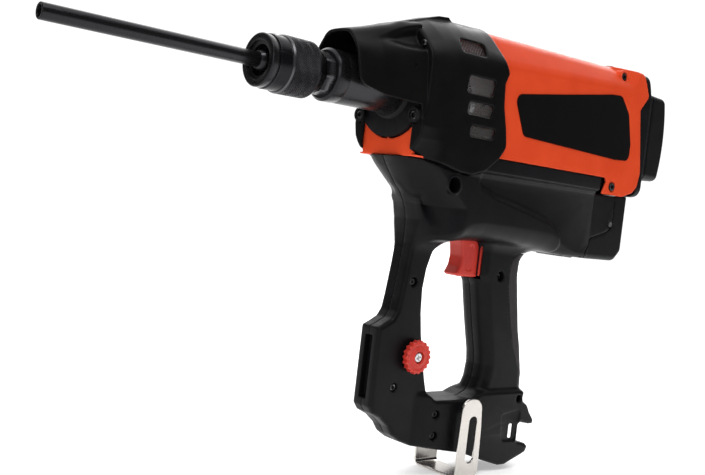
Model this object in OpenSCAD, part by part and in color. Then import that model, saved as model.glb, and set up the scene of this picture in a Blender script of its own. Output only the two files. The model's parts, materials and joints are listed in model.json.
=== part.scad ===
// Gas fastening tool with a long barrel, for fixing insulation.
// The origin is the centre of the barrel's muzzle. +X runs back along the barrel, +Z is up,
// and the tool's left side faces -Y. All sizes are in millimetres.

/* [Barrel] */
// Outside diameter of the long barrel tube
barrel_d = 12; // [11.6:0.1:12.4]
// Length of barrel that shows in front of the collar
barrel_len = 173.5; // [168:0.5:176]
// Diameter of the knurled collar
collar_d = 46.6; // [45:0.2:47]

/* [Drive] */
// Bore of the drive cylinder
cyl_bore = 52; // [50:0.5:52]
// Diameter of the driver rod
rod_d = 7.2; // [6.8:0.1:7.4]
// Free stroke of the piston
stroke = 109.5; // [100:0.5:109.5]

/* [Housing] */
// Half width of the orange motor housing
body_w = 40.5; // [40:0.1:41]
// Half width of the black front hood
hood_w = 44; // [44:0.1:45]
// Half width of the grip
grip_w = 17; // [16:0.5:18]
// Half width of the front leg
leg_w = 12.5; // [12:0.25:13.5]
// Half width of the foot round the battery bay
foot_w = 20.5; // [20:0.25:21]
// Wall of the moulded shells
wall = 2.6; // [2.4:0.1:2.8]

/* [Controls] */
// Half width of the trigger
trigger_w = 9; // [8:0.25:9.5]
// Radius of the magazine clamp knob
knob_r = 15.3; // [14:0.1:16]
// Thickness of the steel of the belt hook
hook_t = 2.2; // [2:0.1:2.4]

/* [Hidden] */
$fn = 48;
// front face of the hood's bulge above the nose plate
step_x = 317;
// upper boss screws of the motor housing
boss_x = 604;
boss_z = 60;

gap = 0.35;
run = 0.05;
barrel_r = barrel_d / 2;
collar_r = collar_d / 2;
ring_x = barrel_len;
collar_x = ring_x + 5.5;
collar_end = ring_x + 54.5;
neck_x = 238;
neck_r = 21.5;
plate_x = 313.5;
plate_r = 40.8;
cyl_x = 376;
cyl_end = 528;
cyl_r = cyl_bore / 2 + 2.5;
chamber_r = 32;
chamber_x = 490;
chamber_end = 560;
head_x = 572;
piston_x = 505;
link_y = 25;
link_z = -20;
screw_r = 1.6;

// Colours
black = "#1b1c1e";
orange = "#e8552b";
steel = "#8c8f94";
dark_steel = "#2b2d31";

// ---- helpers ----
// Turns a 2D outline drawn in X and Z into a slab that is centred on Y = 0
module along_y(w) {
    rotate([90, 0, 0])
        linear_extrude(height = w, center = true)
            children();
}

// Turns a 2D outline drawn in Y and Z into a bar from x0 to x1
module along_x(x0, x1) {
    translate([x0, 0, 0])
        rotate([90, 0, 90])
            linear_extrude(height = x1 - x0)
                children();
}

// Rounds the outward corners of a 2D outline
module soft(r) {
    offset(r = r, $fn = 24)
        offset(delta = -r)
            children();
}

// A round bar on the barrel axis, or beside it
module rod_x(x0, x1, r, y = 0, z = 0) {
    translate([x0, y, z])
        rotate([0, 90, 0])
            cylinder(r = r, h = x1 - x0);
}

// A cone on the barrel axis
module cone_x(x0, x1, r0, r1, y = 0, z = 0) {
    translate([x0, y, z])
        rotate([0, 90, 0])
            cylinder(r1 = r0, r2 = r1, h = x1 - x0);
}

// A round bar across the tool from y0 to y1
module rod_y(x, z, r, y0, y1) {
    translate([x, y0, z])
        rotate([-90, 0, 0])
            cylinder(r = r, h = y1 - y0);
}

// A ring on the barrel axis
module ring_x_axis(x0, x1, r_out, r_in) {
    difference() {
        rod_x(x0, x1, r_out);
        rod_x(x0 - 1, x1 + 1, r_in);
    }
}

// A box given by its lowest and highest corners
module box(a, b) {
    translate(a)
        cube(b - a);
}

// A coil of round wire along X
function coil_point(t, x0, x1, turns, r) =
    [x0 + (x1 - x0) * t, r * cos(360 * turns * t), r * sin(360 * turns * t)];

module coil_x(x0, x1, r, wire, turns, steps = 14, sides = 6) {
    n = turns * steps;
    rings = [for (i = [0:n])
        let (a = 360 * turns * i / n,
             c = coil_point(i / n, x0, x1, turns, r),
             out = [0, cos(a), sin(a)])
        [for (k = [0:sides - 1])
            c + wire * (cos(360 * k / sides) * out + sin(360 * k / sides) * [1, 0, 0])]];
    points = [for (ring = rings) for (p = ring) p];
    walls = [for (i = [0:n - 1]) for (k = [0:sides - 1])
        [i * sides + k, i * sides + (k + 1) % sides,
         (i + 1) * sides + (k + 1) % sides, (i + 1) * sides + k]];
    first = [for (k = [0:sides - 1]) sides - 1 - k];
    last = [for (k = [0:sides - 1]) n * sides + k];
    polyhedron(points, concat([first], walls, [last]), convexity = 10);
}

// ---- outlines of the shells ----
// Cross-section of the upper body: crowned top, sloping shoulders, upright sides
module body_section(w, top, shoulder, bottom, r = 7, flat = 17) {
    soft(r)
        polygon([[-flat, top], [flat, top], [w, shoulder], [w, bottom], [-w, bottom],
            [-w, shoulder]]);
}

// Bulge of the front hood, grown or shrunk by d
module hood_bulge(d) {
    hull() {
        along_x(313.5 - d, 314.5 - d)
            body_section(hood_w - 0.4 + d, 57 + d, 30.3 + d, -80, 8);
        along_x(350, 351)
            body_section(hood_w + d, 70.5 + d, 36 + d, -80, 8);
        along_x(420, 421)
            body_section(hood_w + d, 71.4 + d, 40 + d, -80, 8);
    }
}

// Canopy of the front hood over the neck
module hood_canopy(d) {
    hull() {
        along_x(248, 250)
            soft(9)
                polygon([[-16, 38 + d], [16, 38 + d], [29 + d, 18], [36 + d, -14], [36 + d, -24],
                    [-36 - d, -24], [-36 - d, -14], [-29 - d, 18]]);
        along_x(322, 323)
            body_section(hood_w - 2 + d, 59 + d, 31 + d, -24, 8);
    }
}

// Pockets sunk into both shoulders of the canopy, grown by d
module hood_scoops(d) {
    for (s = [-1, 1])
        scale([1, s, 1])
            hull() {
                along_x(266 - d, 267)
                    offset(delta = d)
                        polygon([[22.5, 36], [22.6, 33.2], [25.2, 30.2], [27.5, 31]]);
                along_x(316, step_x + d)
                    offset(delta = d)
                        polygon([[22.3, 57.2], [18, 47], [31.5, 32.5], [42.3, 34.5]]);
            }
}

// Side view of the front hood
module hood_outline() {
    polygon([[250, 90], [250, 1], [251.5, -4], [256, -8], [275, -12], [313, -13], [313, -54],
        [345, -59.5],
        [365, -63.5], [380, -64.5], [395, -60], [407, -52], [413, -46.5], [421, -36], [418, -20],
        [412, 0], [410, 20], [414, 29], [411, 42], [407, 60], [404, 90]]);
}

// The four vent windows of the hood, grown by d
module vent_windows(d) {
    for (v = [[356, 39.5, 389, 51], [362, 5, 398, 20], [365, -13, 399, -2], [371, -32, 405, -22]])
        offset(delta = d)
            soft(3)
                polygon([[v[0], v[1]], [v[2] - 3, v[1]], [v[2], v[3]], [v[0] + 2, v[3]]]);
}

// Side view of the orange motor housing
module motor_outline() {
    polygon([[320, 90], [320, -46], [579, -46], [582, -50], [576, -62.5], [612, -62.5],
        [628, -57], [635, -50], [638, -35], [625, 28.6], [638.3, 45], [634, 66], [632, 90]]);
}

// Square frame at the back of the motor housing, behind the sloping shoulders
module rear_frame(d, x1) {
    intersection() {
        along_x(598, x1)
            body_section(body_w + 0.35 + d, 71.35 + d, 47 + d, -90, 6, 33.4);
        along_y(120)
            polygon([[603 - d, 90], [603 - d, 71], [614 - d, 46], [616 - d, -95], [650, -95],
                [650, 90]]);
    }
}

// Outside of the motor housing, grown or shrunk by d
module motor_form(d, x1 = 641) {
    rear_frame(d, x1);
    hull() {
        along_x(319, 320)
            body_section(body_w - 3 + d, 53 + d, 28 + d, -90);
        along_x(360, 361)
            body_section(body_w - 0.6 + d, 66.8 + d, 33 + d, -90);
        along_x(x1 - 1, x1)
            body_section(body_w + d, 71 + d, 48 + d, -90);
    }
}

// Side view of the lower housing's body
module body_outline() {
    soft(2)
        polygon([[312.5, -57], [318, -65], [331, -80], [345, -92], [349.5, -98], [351, -104],
            [356, -125], [378, -125], [414, -121], [440, -121.5], [487, -123.5], [540, -128.5],
            [580, -129.5], [624, -129.5], [634.5, -119], [634.5, -46.4], [312.5, -46.4]]);
}

// Side view of the handle frame: leg, foot, base and grip as one loop
module handle_outline() {
    difference() {
        soft(2.5)
            polygon([[345, -90], [350, -108], [349.7, -122], [347, -150], [343.5, -178],
                [341.5, -190], [337, -197], [328, -202], [321.5, -205], [321.5, -275],
                [326, -281], [337, -286], [347, -294], [353, -302], [363, -308], [377, -313],
                [407, -317.5], [442, -322.7], [465, -330.6], [482, -335.5], [493, -338.5],
                [502.4, -338.6], [511.3, -335.2], [520.4, -332.4], [531.5, -328.3],
                [534.5, -322], [530, -319], [516, -316], [516, -299], [520, -297.5],
                [531.5, -300], [538, -300], [538.4, -295.2], [531.5, -287.7], [526.8, -280.4],
                [519.5, -276], [518.5, -272], [521, -262], [520, -248], [513, -219],
                [508.5, -205], [501.5, -172], [497.5, -152], [498, -139], [503.7, -131],
                [515, -123], [515, -110], [360, -110]]);
        loop_outline();
    }
}

// The finger loop between leg and grip
module loop_outline() {
    soft(5)
        polygon([[398, -120], [386, -125], [377, -136], [372, -152], [370, -170],
            [371.5, -190], [375, -210], [380, -230], [386, -252], [390, -264], [398, -271],
            [442, -271], [454, -266], [459.5, -254], [461, -240], [459.5, -230], [451, -200],
            [445, -176], [442, -164], [437, -156], [437, -122], [430, -120]]);
}

// Side view of the fuel door, shrunk by d where it meets the housing
module door_outline(d) {
    offset(delta = -d)
        polygon([[611, -60], [613, -86], [611.5, -94], [606, -99.5], [598, -102.6],
            [577, -108.5], [572.5, -117], [569, -123], [569, -140], [660, -140], [660, -60]]);
}

// Plan view that limits the lower housing's width
module plan_limit(d) {
    polygon([[300, -19 - d], [314, -21 - d], [330, -32 - d], [346, -38 - d], [400, -body_w + 0.4 - d],
        [573, -body_w + 0.4 - d], [573, -36.6 - d], [660, -36.6 - d],
        [660, 36.6 + d], [573, 36.6 + d], [573, body_w - 0.4 + d], [400, body_w - 0.4 + d],
        [346, 38 + d], [330, 32 + d], [314, 21 + d], [300, 19 + d]]);
}

// Cross-section of the lower housing's body
module lower_section(d) {
    soft(9)
        polygon([[-body_w - d, -30], [-body_w - d, -60], [-38.3 - d, -65], [-37.8 - d, -100],
            [-33 - d, -116], [-19 - d, -131 - d], [19 + d, -131 - d], [33 + d, -116],
            [37.8 + d, -100], [38.3 + d, -65], [body_w + d, -60], [body_w + d, -30]]);
}

// Side view of the sunken field above and behind the body's diagonal ledge
module recess_outline() {
    polygon([[412, -64], [415, -80], [430, -85.5], [468, -92.5], [503, -100.5], [521, -110],
        [525, -122], [525, -150], [700, -150], [700, -64]]);
}

// What narrows the lower housing towards its front edge, on the right side
module front_taper(d) {
    translate([0, -1.7 * d, 0]) {
        translate([0, 0, -140])
            linear_extrude(height = 45.4)
                polygon([[345, 5.5], [395, 55.5], [300, 55.5], [300, 5.5]]);
        hull() {
            translate([0, 0, -94.61])
                linear_extrude(height = 0.01)
                    polygon([[345, 5.5], [395, 55.5], [300, 55.5], [300, 5.5]]);
            translate([0, 0, -45])
                linear_extrude(height = 0.01)
                    polygon([[290, 11.3], [334.2, 55.5], [240, 55.5], [240, 11.3]]);
        }
    }
}

// Solid form of both lower halves, shrunk by d all round
module lower_form(d) {
    difference() {
        intersection() {
            along_y(100)
                offset(delta = -d)
                    body_outline();
            along_x(290, 660)
                lower_section(-d);
            translate([0, 0, -150])
                linear_extrude(height = 130)
                    plan_limit(-d);
        }
        for (s = [-1, 1])
            translate([0, s * (46 - d), 0])
                along_y(20)
                    recess_outline();
        for (s = [-1, 1])
            scale([1, s, 1])
                front_taper(d);
    }
    // grip
    intersection() {
        along_y(2 * (grip_w - d))
            offset(delta = -d)
                handle_outline();
        box([430, -60, -262], [540, 60, -100]);
    }
    // leg and foot
    intersection() {
        along_y(2 * (leg_w - d))
            offset(delta = -d)
                handle_outline();
        box([300, -60, -330], [400, 60, -92]);
    }
    // base round the battery bay
    intersection() {
        along_y(100)
            offset(delta = -d)
                handle_outline();
        translate([0, 0, -345])
            linear_extrude(height = 90)
                polygon([[371, -leg_w + d], [400, -17.5 + d], [425, -foot_w + d],
                    [545, -foot_w + d], [545, foot_w - d], [425, foot_w - d],
                    [400, 17.5 - d], [371, leg_w - d]]);
    }
}

// Clamshell screws: x, z, depth of the head below the centre plane, recess radius
CLAM = [[366, -75, 26, 7], [356.5, -164, 8, 4.4], [466, -154, 11, 4.8], [347, -258, 9, 4],
    [400, -284, 13, 4], [400, -304, 13, 4]];

module screw_posts() {
    for (s = CLAM) {
        rod_y(s[0], s[1], s[3] + 1.8, -50, -s[2] + 3);
        rod_y(s[0], s[1], 4.6, -s[2], 50);
    }
}

module screw_holes() {
    for (s = CLAM) {
        rod_y(s[0], s[1], s[3], -60, -s[2]);
        rod_y(s[0], s[1], screw_r + run, -s[2] - 1, s[2] - 2);
    }
}

// Everything that is cut out of both lower halves
module lower_cuts() {
    // room for the front hood, the motor housing and the front panel
    along_y(120)
        offset(delta = gap)
            hood_outline();
    along_y(120)
        offset(delta = gap)
            motor_outline();
    box([300, -60, -56.3], [345, 60, -30]);
    // the top is open to the motor housing
    box([612, -60, -64], [640, 60, -30]);
    box([352, -33, -58], [640, 33, -30]);
    // trigger slot, wider behind its face so the trigger's flange stays in
    box([400, -trigger_w - 0.4, -157.4], [441, trigger_w + 0.4, -120.8]);
    box([439.6, -trigger_w - 3.4, -158], [456, trigger_w + 3.4, -120]);
    // battery bay, open to the back, with a latch window in its walls
    box([475, -foot_w + 3, -315.8], [545, foot_w - 3, -299]);
    box([475, -foot_w + 3, -320], [516.5, foot_w - 3, -292]);
    box([502.5, -40, -312], [506.5, 40, -298]);
    box([490, -foot_w - 5, -314], [516.5, -foot_w + 1, -286]);
    box([490, foot_w - 1, -314], [516.5, foot_w + 5, -286]);
    // magazine groove in the front pad
    box([310, -4.5, -268.5], [327.5, 4.5, -213]);
    // fuel door and its hinge pin
    along_y(120)
        door_outline(-gap);
    box([559, -12, -135], [575, 12, -124]);
    rod_y(563.5, -128, 1.2 + run, -40, 40);
    rod_y(607, -92, 2.6 + run, -60, 60);
    // clamp knob shaft
    rod_y(365, -230, 4 + run, -40, 11);
    // belt hook screws
    for (z = [-287, -305])
        rod_y(436, z, screw_r + run, 5, 40);
}

module lower_half(side) {
    intersection() {
        difference() {
            union() {
                difference() {
                    lower_form(0);
                    lower_form(wall);
                }
                intersection() {
                    lower_form(0);
                    union() {
                        screw_posts();
                        rod_y(365, -230, 8, -20, 20);
                        box([321, -8, -274], [331, 8, -208]);
                        box([471, -foot_w, -323], [475, foot_w, -289]);
                        box([471, -foot_w, -292], [540, foot_w, -289]);
                        box([471, -foot_w, -323], [540, foot_w, -320]);
                        rod_y(607, -92, 5, -40, -28);
                        rod_y(607, -92, 5, 28, 40);
                        for (z = [-287, -305])
                            rod_y(436, z, 5, 5, 30);
                    }
                }
                // hinge knuckles under the fuel cell bay
                rod_y(563.5, -128, 2.4, -22, -12);
                rod_y(563.5, -128, 2.4, 12, 22);
            }
            lower_cuts();
            screw_holes();
            // the grip's back is cut away for the rubber
            along_y(60)
                rubber_outline(0);
        }
        if (side < 0)
            box([290, -60, -350], [660, -0.04, -30]);
        else
            box([290, 0.04, -350], [660, 60, -30]);
    }
}

// Side view of the soft grip insert
module rubber_outline(d) {
    offset(delta = -d)
        polygon([[490, -130.5], [482, -136], [478, -147], [479.5, -164], [483.5, -180],
            [488, -197], [497, -224], [506, -241], [516, -254], [540, -250], [540, -130.5]]);
}

// ---- nose, moves with the muzzle ----
module barrel_tube() {
    color(dark_steel)
        difference() {
            union() {
                cone_x(0, 0.6, barrel_r - 0.6, barrel_r);
                rod_x(0.6, ring_x + 31.5, barrel_r);
            }
            rod_x(-1, 125, 4.4);
            rod_x(124, 300, 4);
        }
}

module barrel_sleeve() {
    color(dark_steel)
        difference() {
            union() {
                cone_x(ring_x - 0.5, ring_x + 4, barrel_r + 0.6, 9);
                rod_x(ring_x + 4, ring_x + 31.5, 9);
            }
            rod_x(ring_x - 2, ring_x + 40, barrel_r + run);
        }
}

module neck_sleeve() {
    color(dark_steel)
        difference() {
            union() {
                rod_x(ring_x + 11, neck_x - 9, 14.95);
                // nut with eight flats
                intersection() {
                    rod_x(neck_x - 9, neck_x, 17.6);
                    along_x(neck_x - 10, neck_x + 1)
                        rotate(12)
                            circle(r = 18.1, $fn = 8);
                }
            }
            rod_x(ring_x, neck_x - 6, 9 + run);
            rod_x(ring_x, neck_x + 5, 5);
        }
}

module flange_ring() {
    color(dark_steel)
        difference() {
            union() {
                cone_x(neck_x, neck_x + 2, 19.8, 21.8);
                rod_x(neck_x + 2, neck_x + 12.5, 21.8);
            }
            rod_x(neck_x - 1, neck_x + 15, 14);
        }
}

module neck_tube() {
    color(dark_steel)
        difference() {
            union() {
                rod_x(neck_x, neck_x + 12.5, 14);
                rod_x(neck_x + 12.5, 328, neck_r);
            }
            rod_x(neck_x - 1, 330, 5);
            rod_x(neck_x + 22, 330, 17);
        }
}

module driver_bush() {
    color("#9a7b3a")
        ring_x_axis(ring_x + 31.5, neck_x - 6, 9, rod_d / 2 + run);
}

module link_yoke() {
    color(steel)
        difference() {
            along_x(328, 331.5)
                union() {
                    circle(r = 23);
                    for (s = [-1, 1])
                        hull() {
                            circle(r = 6);
                            translate([s * link_y, link_z])
                                circle(r = 4);
                        }
                }
            rod_x(320, 340, 14);
        }
}

module link_rods() {
    color(steel)
        for (s = [-1, 1])
            rod_x(331.5, chamber_x, 1.75, s * link_y, link_z);
}

module chamber_sleeve() {
    color("#7d8087")
        union() {
            ring_x_axis(chamber_x, chamber_end, chamber_r + 2.5, chamber_r);
            ring_x_axis(chamber_x, chamber_x + 4, chamber_r + 1, cyl_r + 0.5);
        }
}

module return_spring() {
    color(steel)
        coil_x(333.6, 374, 19.2, 1.4, 7);
}

module front_ring() {
    color(dark_steel)
        difference() {
            union() {
                cone_x(ring_x, ring_x + 0.8, 20.2, 21);
                rod_x(ring_x + 0.8, collar_x, 21);
            }
            rod_x(ring_x - 1, ring_x + 2.5, 15.6);
            rod_x(ring_x, collar_x + 1, 12.5);
            for (a = [0, 180])
                rod_x(ring_x - 1, ring_x + 3, 0.9, 17.8 * sin(a), 17.8 * cos(a));
        }
}

module knurled_collar() {
    color(dark_steel)
        difference() {
            union() {
                rod_x(collar_x, collar_x + 1.6, 20.3);
                rod_x(collar_x + 1.6, collar_x + 12.6, 21.6);
                cone_x(collar_x + 12.6, collar_x + 14, 21.6, collar_r);
                rod_x(collar_x + 14, collar_x + 39.5, collar_r);
                cone_x(collar_x + 39.5, collar_end, collar_r, 17.6);
            }
            rod_x(collar_x - 1, collar_end + 1, 15);
            rod_x(collar_x + 7, collar_x + 9, 1.5, 0, 0);
            translate([collar_x + 7, 0, 14])
                cylinder(r = 1.5, h = 12);
        }
}

module collar_set_pin() {
    color("#a9abb0")
        translate([collar_x + 7, 0, 15.2])
            cylinder(r = 1.5, h = 6.9);
}

// ---- piston ----
module driver_rod() {
    color(steel)
        rod_x(piston_x - 373.5, piston_x, rod_d / 2);
}

module piston() {
    color(steel)
        difference() {
            rod_x(piston_x, piston_x + 15, cyl_bore / 2 - 0.4);
            for (x = [3, 9])
                ring_x_axis(piston_x + x, piston_x + x + 2.4, 40, cyl_bore / 2 - 3);
            rod_x(piston_x + 11, piston_x + 16, 18);
        }
}

module piston_rings() {
    color("#4a4c50")
        for (x = [3, 9])
            ring_x_axis(piston_x + x, piston_x + x + 2.4, cyl_bore / 2 - run, cyl_bore / 2 - 3);
}

// ---- cylinder and chamber ----
// Nose bolts on one side of the barrel: y and z
NOSE_BOLTS = [[34.5, -22], [30.5, 24.5]];

// Round plate whose upper half is narrower, to fit under the canopy; grown by d
module plate_form(x0, x1, d) {
    difference() {
        rod_x(x0, x1, plate_r + d);
        for (s = [-1, 1])
            scale([1, s, 1])
                box([x0 - 1, 36.4 + d, -14 + d], [x1 + 1, 60, 60]);
    }
}

module nose_plate() {
    color(black)
        difference() {
            union() {
                plate_form(plate_x, plate_x + 6, 0);
                cone_x(plate_x - 3, plate_x, 23.5, 25.5);
                for (s = [-1, 1])
                    rod_x(plate_x - 3.5, plate_x + 1, 6.3, s * 34.5, -22);
                for (a = [20, 90, 160, 270])
                    rod_x(plate_x + 5, cyl_x, 3, 33 * cos(a), 33 * sin(a));
            }
            rod_x(plate_x - 5, plate_x + 8, neck_r + run);
            for (s = [-1, 1])
                for (b = NOSE_BOLTS) {
                    rod_x(plate_x - 5, plate_x + 1.5, 4.4, s * b[0], b[1]);
                    rod_x(plate_x, plate_x + 10, 2.5 + run, s * b[0], b[1]);
                }
        }
}

module nose_screws() {
    color("#232427")
        for (s = [-1, 1])
            for (b = NOSE_BOLTS)
                difference() {
                    union() {
                        rod_x(plate_x - 3, plate_x + 1.5, 4.2, s * b[0], b[1]);
                        rod_x(plate_x + 1.5, plate_x + 6, 2.5, s * b[0], b[1]);
                    }
                    translate([plate_x - 4, s * b[0], b[1]])
                        rotate([0, 90, 0])
                            cylinder(r = 2.3, h = 3.6, $fn = 6);
                }
}

module cylinder_body() {
    difference() {
        union() {
            rod_x(cyl_x, cyl_x + 5, 36.8);
            rod_x(cyl_x, cyl_end, cyl_r);
            rod_x(518, cyl_end, chamber_r - 0.6);
        }
        rod_x(cyl_x + 3, cyl_end + 1, cyl_bore / 2);
        rod_x(cyl_x - 1, cyl_x + 5, 5.4);
        for (s = [-1, 1])
            rod_x(cyl_x - 1, cyl_x + 6, 2.3, s * link_y, link_z);
        ring_x_axis(521, 524.5, 40, chamber_r - 3);
        for (a = [30:60:330])
            rotate([a, 0, 0])
                translate([cyl_x + 24, 0, cyl_r - 6])
                    cylinder(r = 3, h = 12);
    }
}

module cylinder_node() {
    color("#85888c")
        cylinder_body();
}

module cylinder_seal() {
    color("#202020")
        ring_x_axis(521, 524.5, chamber_r - 0.08, chamber_r - 3);
}

module bumper() {
    color("#3a3a3c")
        difference() {
            rod_x(cyl_x + 3, cyl_x + 19, cyl_bore / 2 - 0.4);
            rod_x(cyl_x, cyl_x + 20, 5.4);
        }
}

module cylinder_head() {
    color("#85888c")
        difference() {
            union() {
                rod_x(head_x, head_x + 12, chamber_r - 0.6);
                rod_x(head_x + 12, head_x + 18, 37);
            }
            ring_x_axis(head_x + 5, head_x + 8.5, 40, chamber_r - 3);
            rod_x(head_x - 1, head_x + 20, 3 + run);
            rod_x(head_x - 1, head_x + 20, 4.5 + run, 0, 24);
            rod_x(head_x + 14, head_x + 20, 1.6 + run, 0, -28);
        }
}

module head_seal() {
    color("#202020")
        ring_x_axis(head_x + 5, head_x + 8.5, chamber_r - 0.08, chamber_r - 3);
}

module spark_plug() {
    color("#c9c6bd")
        union() {
            rod_x(head_x - 2, head_x + 18, 4.5, 0, 24);
            rod_x(head_x - 7, head_x - 2, 1, 0, 24);
            translate([head_x + 18, 0, 24])
                rotate([0, 90, 0])
                    cylinder(r = 6.2, h = 6, $fn = 6);
            rod_x(head_x + 24, head_x + 44, 3.4, 0, 24);
        }
}

module fan_motor() {
    color("#a8abaf")
        difference() {
            union() {
                rod_x(head_x + 18.2, head_x + 60, 17);
                rod_x(head_x + 60, head_x + 64, 6);
            }
            rod_x(head_x + 10, head_x + 56, 3 + run);
        }
}

module fan() {
    color("#d8d5cc")
        difference() {
            union() {
                rod_x(543, 558, 6.5);
                for (a = [0:72:288])
                    rotate([a, 0, 0])
                        translate([550.5, 0, 5])
                            rotate([0, 0, 38])
                                box([-7, -0.9, 0], [7, 0.9, 18]);
            }
            rod_x(546, 560, 3);
        }
}

module fan_shaft() {
    color(steel)
        rod_x(546, head_x + 54, 3);
}

module ignition_coil() {
    color("#2a2d36")
        union() {
            box([604, -13, -43], [632, 13, -22]);
            rod_x(632, 638, 3, 0, -32);
        }
}

// ---- front hood and vents ----
module front_hood() {
    color(black)
        difference() {
            intersection() {
                union() {
                    difference() {
                        hood_bulge(0);
                        box([300, -60, -13.6], [step_x, 60, 90]);
                    }
                    hood_canopy(0);
                    // flat rib along the canopy's crest
                    along_y(19)
                        polygon([[288, 40], [288, 50.6], [300, 54.2], [352, 70.5], [366, 72], [367, 40]]);
                }
                along_y(120)
                    hood_outline();
            }
            difference() {
                union() {
                    difference() {
                        hood_bulge(-wall);
                        box([300, -60, -13.6 - wall], [step_x + wall, 60, 90]);
                    }
                    hood_canopy(-wall);
                }
                hood_scoops(wall);
            }
            hood_scoops(0);
            along_y(120)
                vent_windows(0);
            // room for the nose plate, its bolts and the orange front panel
            plate_form(300, 330, 1);
            for (s = [-1, 1]) {
                rod_x(300, 330, 7, s * NOSE_BOLTS[0][0], NOSE_BOLTS[0][1]);
                rod_x(300, 330, 4.8, s * NOSE_BOLTS[1][0], NOSE_BOLTS[1][1]);
                rod_x(310, 330, screw_r + run, s * 31.5, 39);
            }
            box([300, -30.9, -60], [346, 30.9, -20]);
        }
}

module vent_mesh(side) {
    color("#77787a")
        intersection() {
            difference() {
                hood_bulge(-wall - 0.2);
                hood_bulge(-wall - 0.8);
            }
            along_y(120)
                vent_windows(2.5);
            if (side < 0)
                box([330, -60, -60], [420, -20, 60]);
            else
                box([330, 20, -60], [420, 60, 60]);
        }
}

module hood_screws() {
    color("#8f9296")
        for (s = [-1, 1])
            difference() {
                union() {
                    rod_x(step_x - 2.1, step_x, 2.8, s * 31.5, 39);
                    rod_x(step_x, step_x + wall, screw_r, s * 31.5, 39);
                }
                translate([step_x - 2.6, s * 31.5, 39])
                    rotate([0, 90, 0])
                        cylinder(r = 1.5, h = 1.7, $fn = 6);
            }
}

// ---- motor housing, bezel and cap ----
module motor_housing() {
    color(orange)
        difference() {
            union() {
                intersection() {
                    difference() {
                        motor_form(0);
                        motor_form(-wall);
                    }
                    along_y(120)
                        motor_outline();
                }
                // front panel under the nose
                difference() {
                    box([316.5, -35, -55.9], [320.5, 35, -28]);
                    rod_x(310, 330, plate_r + 0.9);
                }
                for (s = [-1, 1])
                    box([320, s * 32 - 4.5, -45.9], [330, s * 32 + 4.5, -39]);
                // bosses of the four boss screws
                for (s = [-1, 1]) {
                    rod_y(boss_x, boss_z, 6.6, s > 0 ? 18 : -30.8, s > 0 ? 30.8 : -18);
                    rod_x(592, 625, 5.5, s * 33.5, -54);
                }
            }
            along_y(120)
                vent_windows(3);
            // recesses for the boss screws
            for (s = [-1, 1]) {
                rod_y(boss_x, boss_z, 4.8, s > 0 ? 28 : -60, s > 0 ? 60 : -28);
                rod_y(boss_x, boss_z, screw_r + run, s > 0 ? 17 : -29, s > 0 ? 29 : -17);
                rod_y(592, -54, 5, s > 0 ? body_w - 2 : -60, s > 0 ? 60 : -body_w + 2);
            }
            for (s = [-1, 1]) {
                translate([0, s * body_w, 0])
                    along_y(1)
                        label_outline(-0.3);
                rod_y(592, -54, screw_r + run, s > 0 ? 28 : -42, s > 0 ? 42 : -28);
            }
            translate([618, 0, 60])
                cylinder(r = 2.4 + run, h = 20);
        }
}

module housing_screws() {
    color("#b4b6ba")
        for (s = [-1, 1]) {
            translate([boss_x, s * 28, boss_z])
                rotate([s * -90, 0, 0])
                    boss_screw();
            translate([592, s * (body_w - 2), -54])
                rotate([s * -90, 0, 0])
                    boss_screw();
        }
}

// Pan-head screw with a hexagon socket, its head's underside at the origin
module boss_screw() {
    difference() {
        union() {
            cylinder(r = 4, h = 2.6);
            translate([0, 0, -8])
                cylinder(r = screw_r, h = 8);
        }
        translate([0, 0, 1])
            cylinder(r = 2, h = 3, $fn = 6);
    }
}

// Side view of the label panel, shrunk by d
module label_outline(d) {
    offset(delta = -d)
        soft(7)
            polygon([[428, 14], [446, -22], [590, -26.5], [614, -25], [614, -8], [605, 22],
                [590, 38], [574, 37], [500, 25]]);
}

module top_stud() {
    color(dark_steel)
        difference() {
            union() {
                translate([618, 0, 66])
                    cylinder(r = 2.4, h = 5.6);
                translate([618, 0, 71.5])
                    cylinder(r = 4.2, h = 2.8);
            }
            translate([618, 0, 72.5])
                cylinder(r = 2, h = 3, $fn = 6);
        }
}

module label_panels() {
    color("#0c0c0d")
        for (s = [-1, 1])
            translate([0, s * (body_w - 0.15), 0])
                along_y(0.6)
                    label_outline(0);
}

module rear_bezel() {
    color(black)
        difference() {
            intersection() {
                hull() {
                    along_x(622, 642)
                        body_section(body_w, 71, 47, -62, 6, 33.4);
                    along_x(649, 650)
                        body_section(body_w - 5.5, 64, 42, -52, 6, 29);
                }
                difference() {
                    box([600, -60, -62], [660, 60, 90]);
                    along_y(130)
                        offset(delta = gap)
                            motor_outline();
                    box([600, -60, -90], [635, 60, -46]);
                }
            }
            along_x(600, 646)
                offset(delta = -wall - 0.4)
                    body_section(body_w, 71, 47, -62, 6, 33.4);
            rod_x(640, 660, 24);
        }
}

module rear_cap() {
    color(black)
        difference() {
            hull() {
                along_x(650.2, 652)
                    body_section(34, 51, 40, -41, 6);
                along_x(681, 682)
                    body_section(33, 48, 38, -38, 6);
                along_x(690, 691)
                    body_section(29, 22, 16, -16, 6);
            }
            box([640, -29, -36], [676, 29, 42]);
        }
}

// ---- lower housing ----
module lower_housing_left() {
    color(black)
        lower_half(-1);
}

module lower_housing_right() {
    color(black)
        lower_half(1);
}

module clamshell_screws() {
    color("#2a2b2e")
        for (s = CLAM)
            translate([s[0], -s[2], s[1]])
                rotate([90, 0, 0])
                    difference() {
                        union() {
                            cylinder(r = min(3.4, s[3] - 0.6), h = 2.2);
                            translate([0, 0, -2 * s[2] + 4])
                                cylinder(r = screw_r, h = 2 * s[2] - 4);
                        }
                        translate([0, 0, 0.8])
                            cylinder(r = 1.5, h = 3, $fn = 6);
                    }
}

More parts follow.
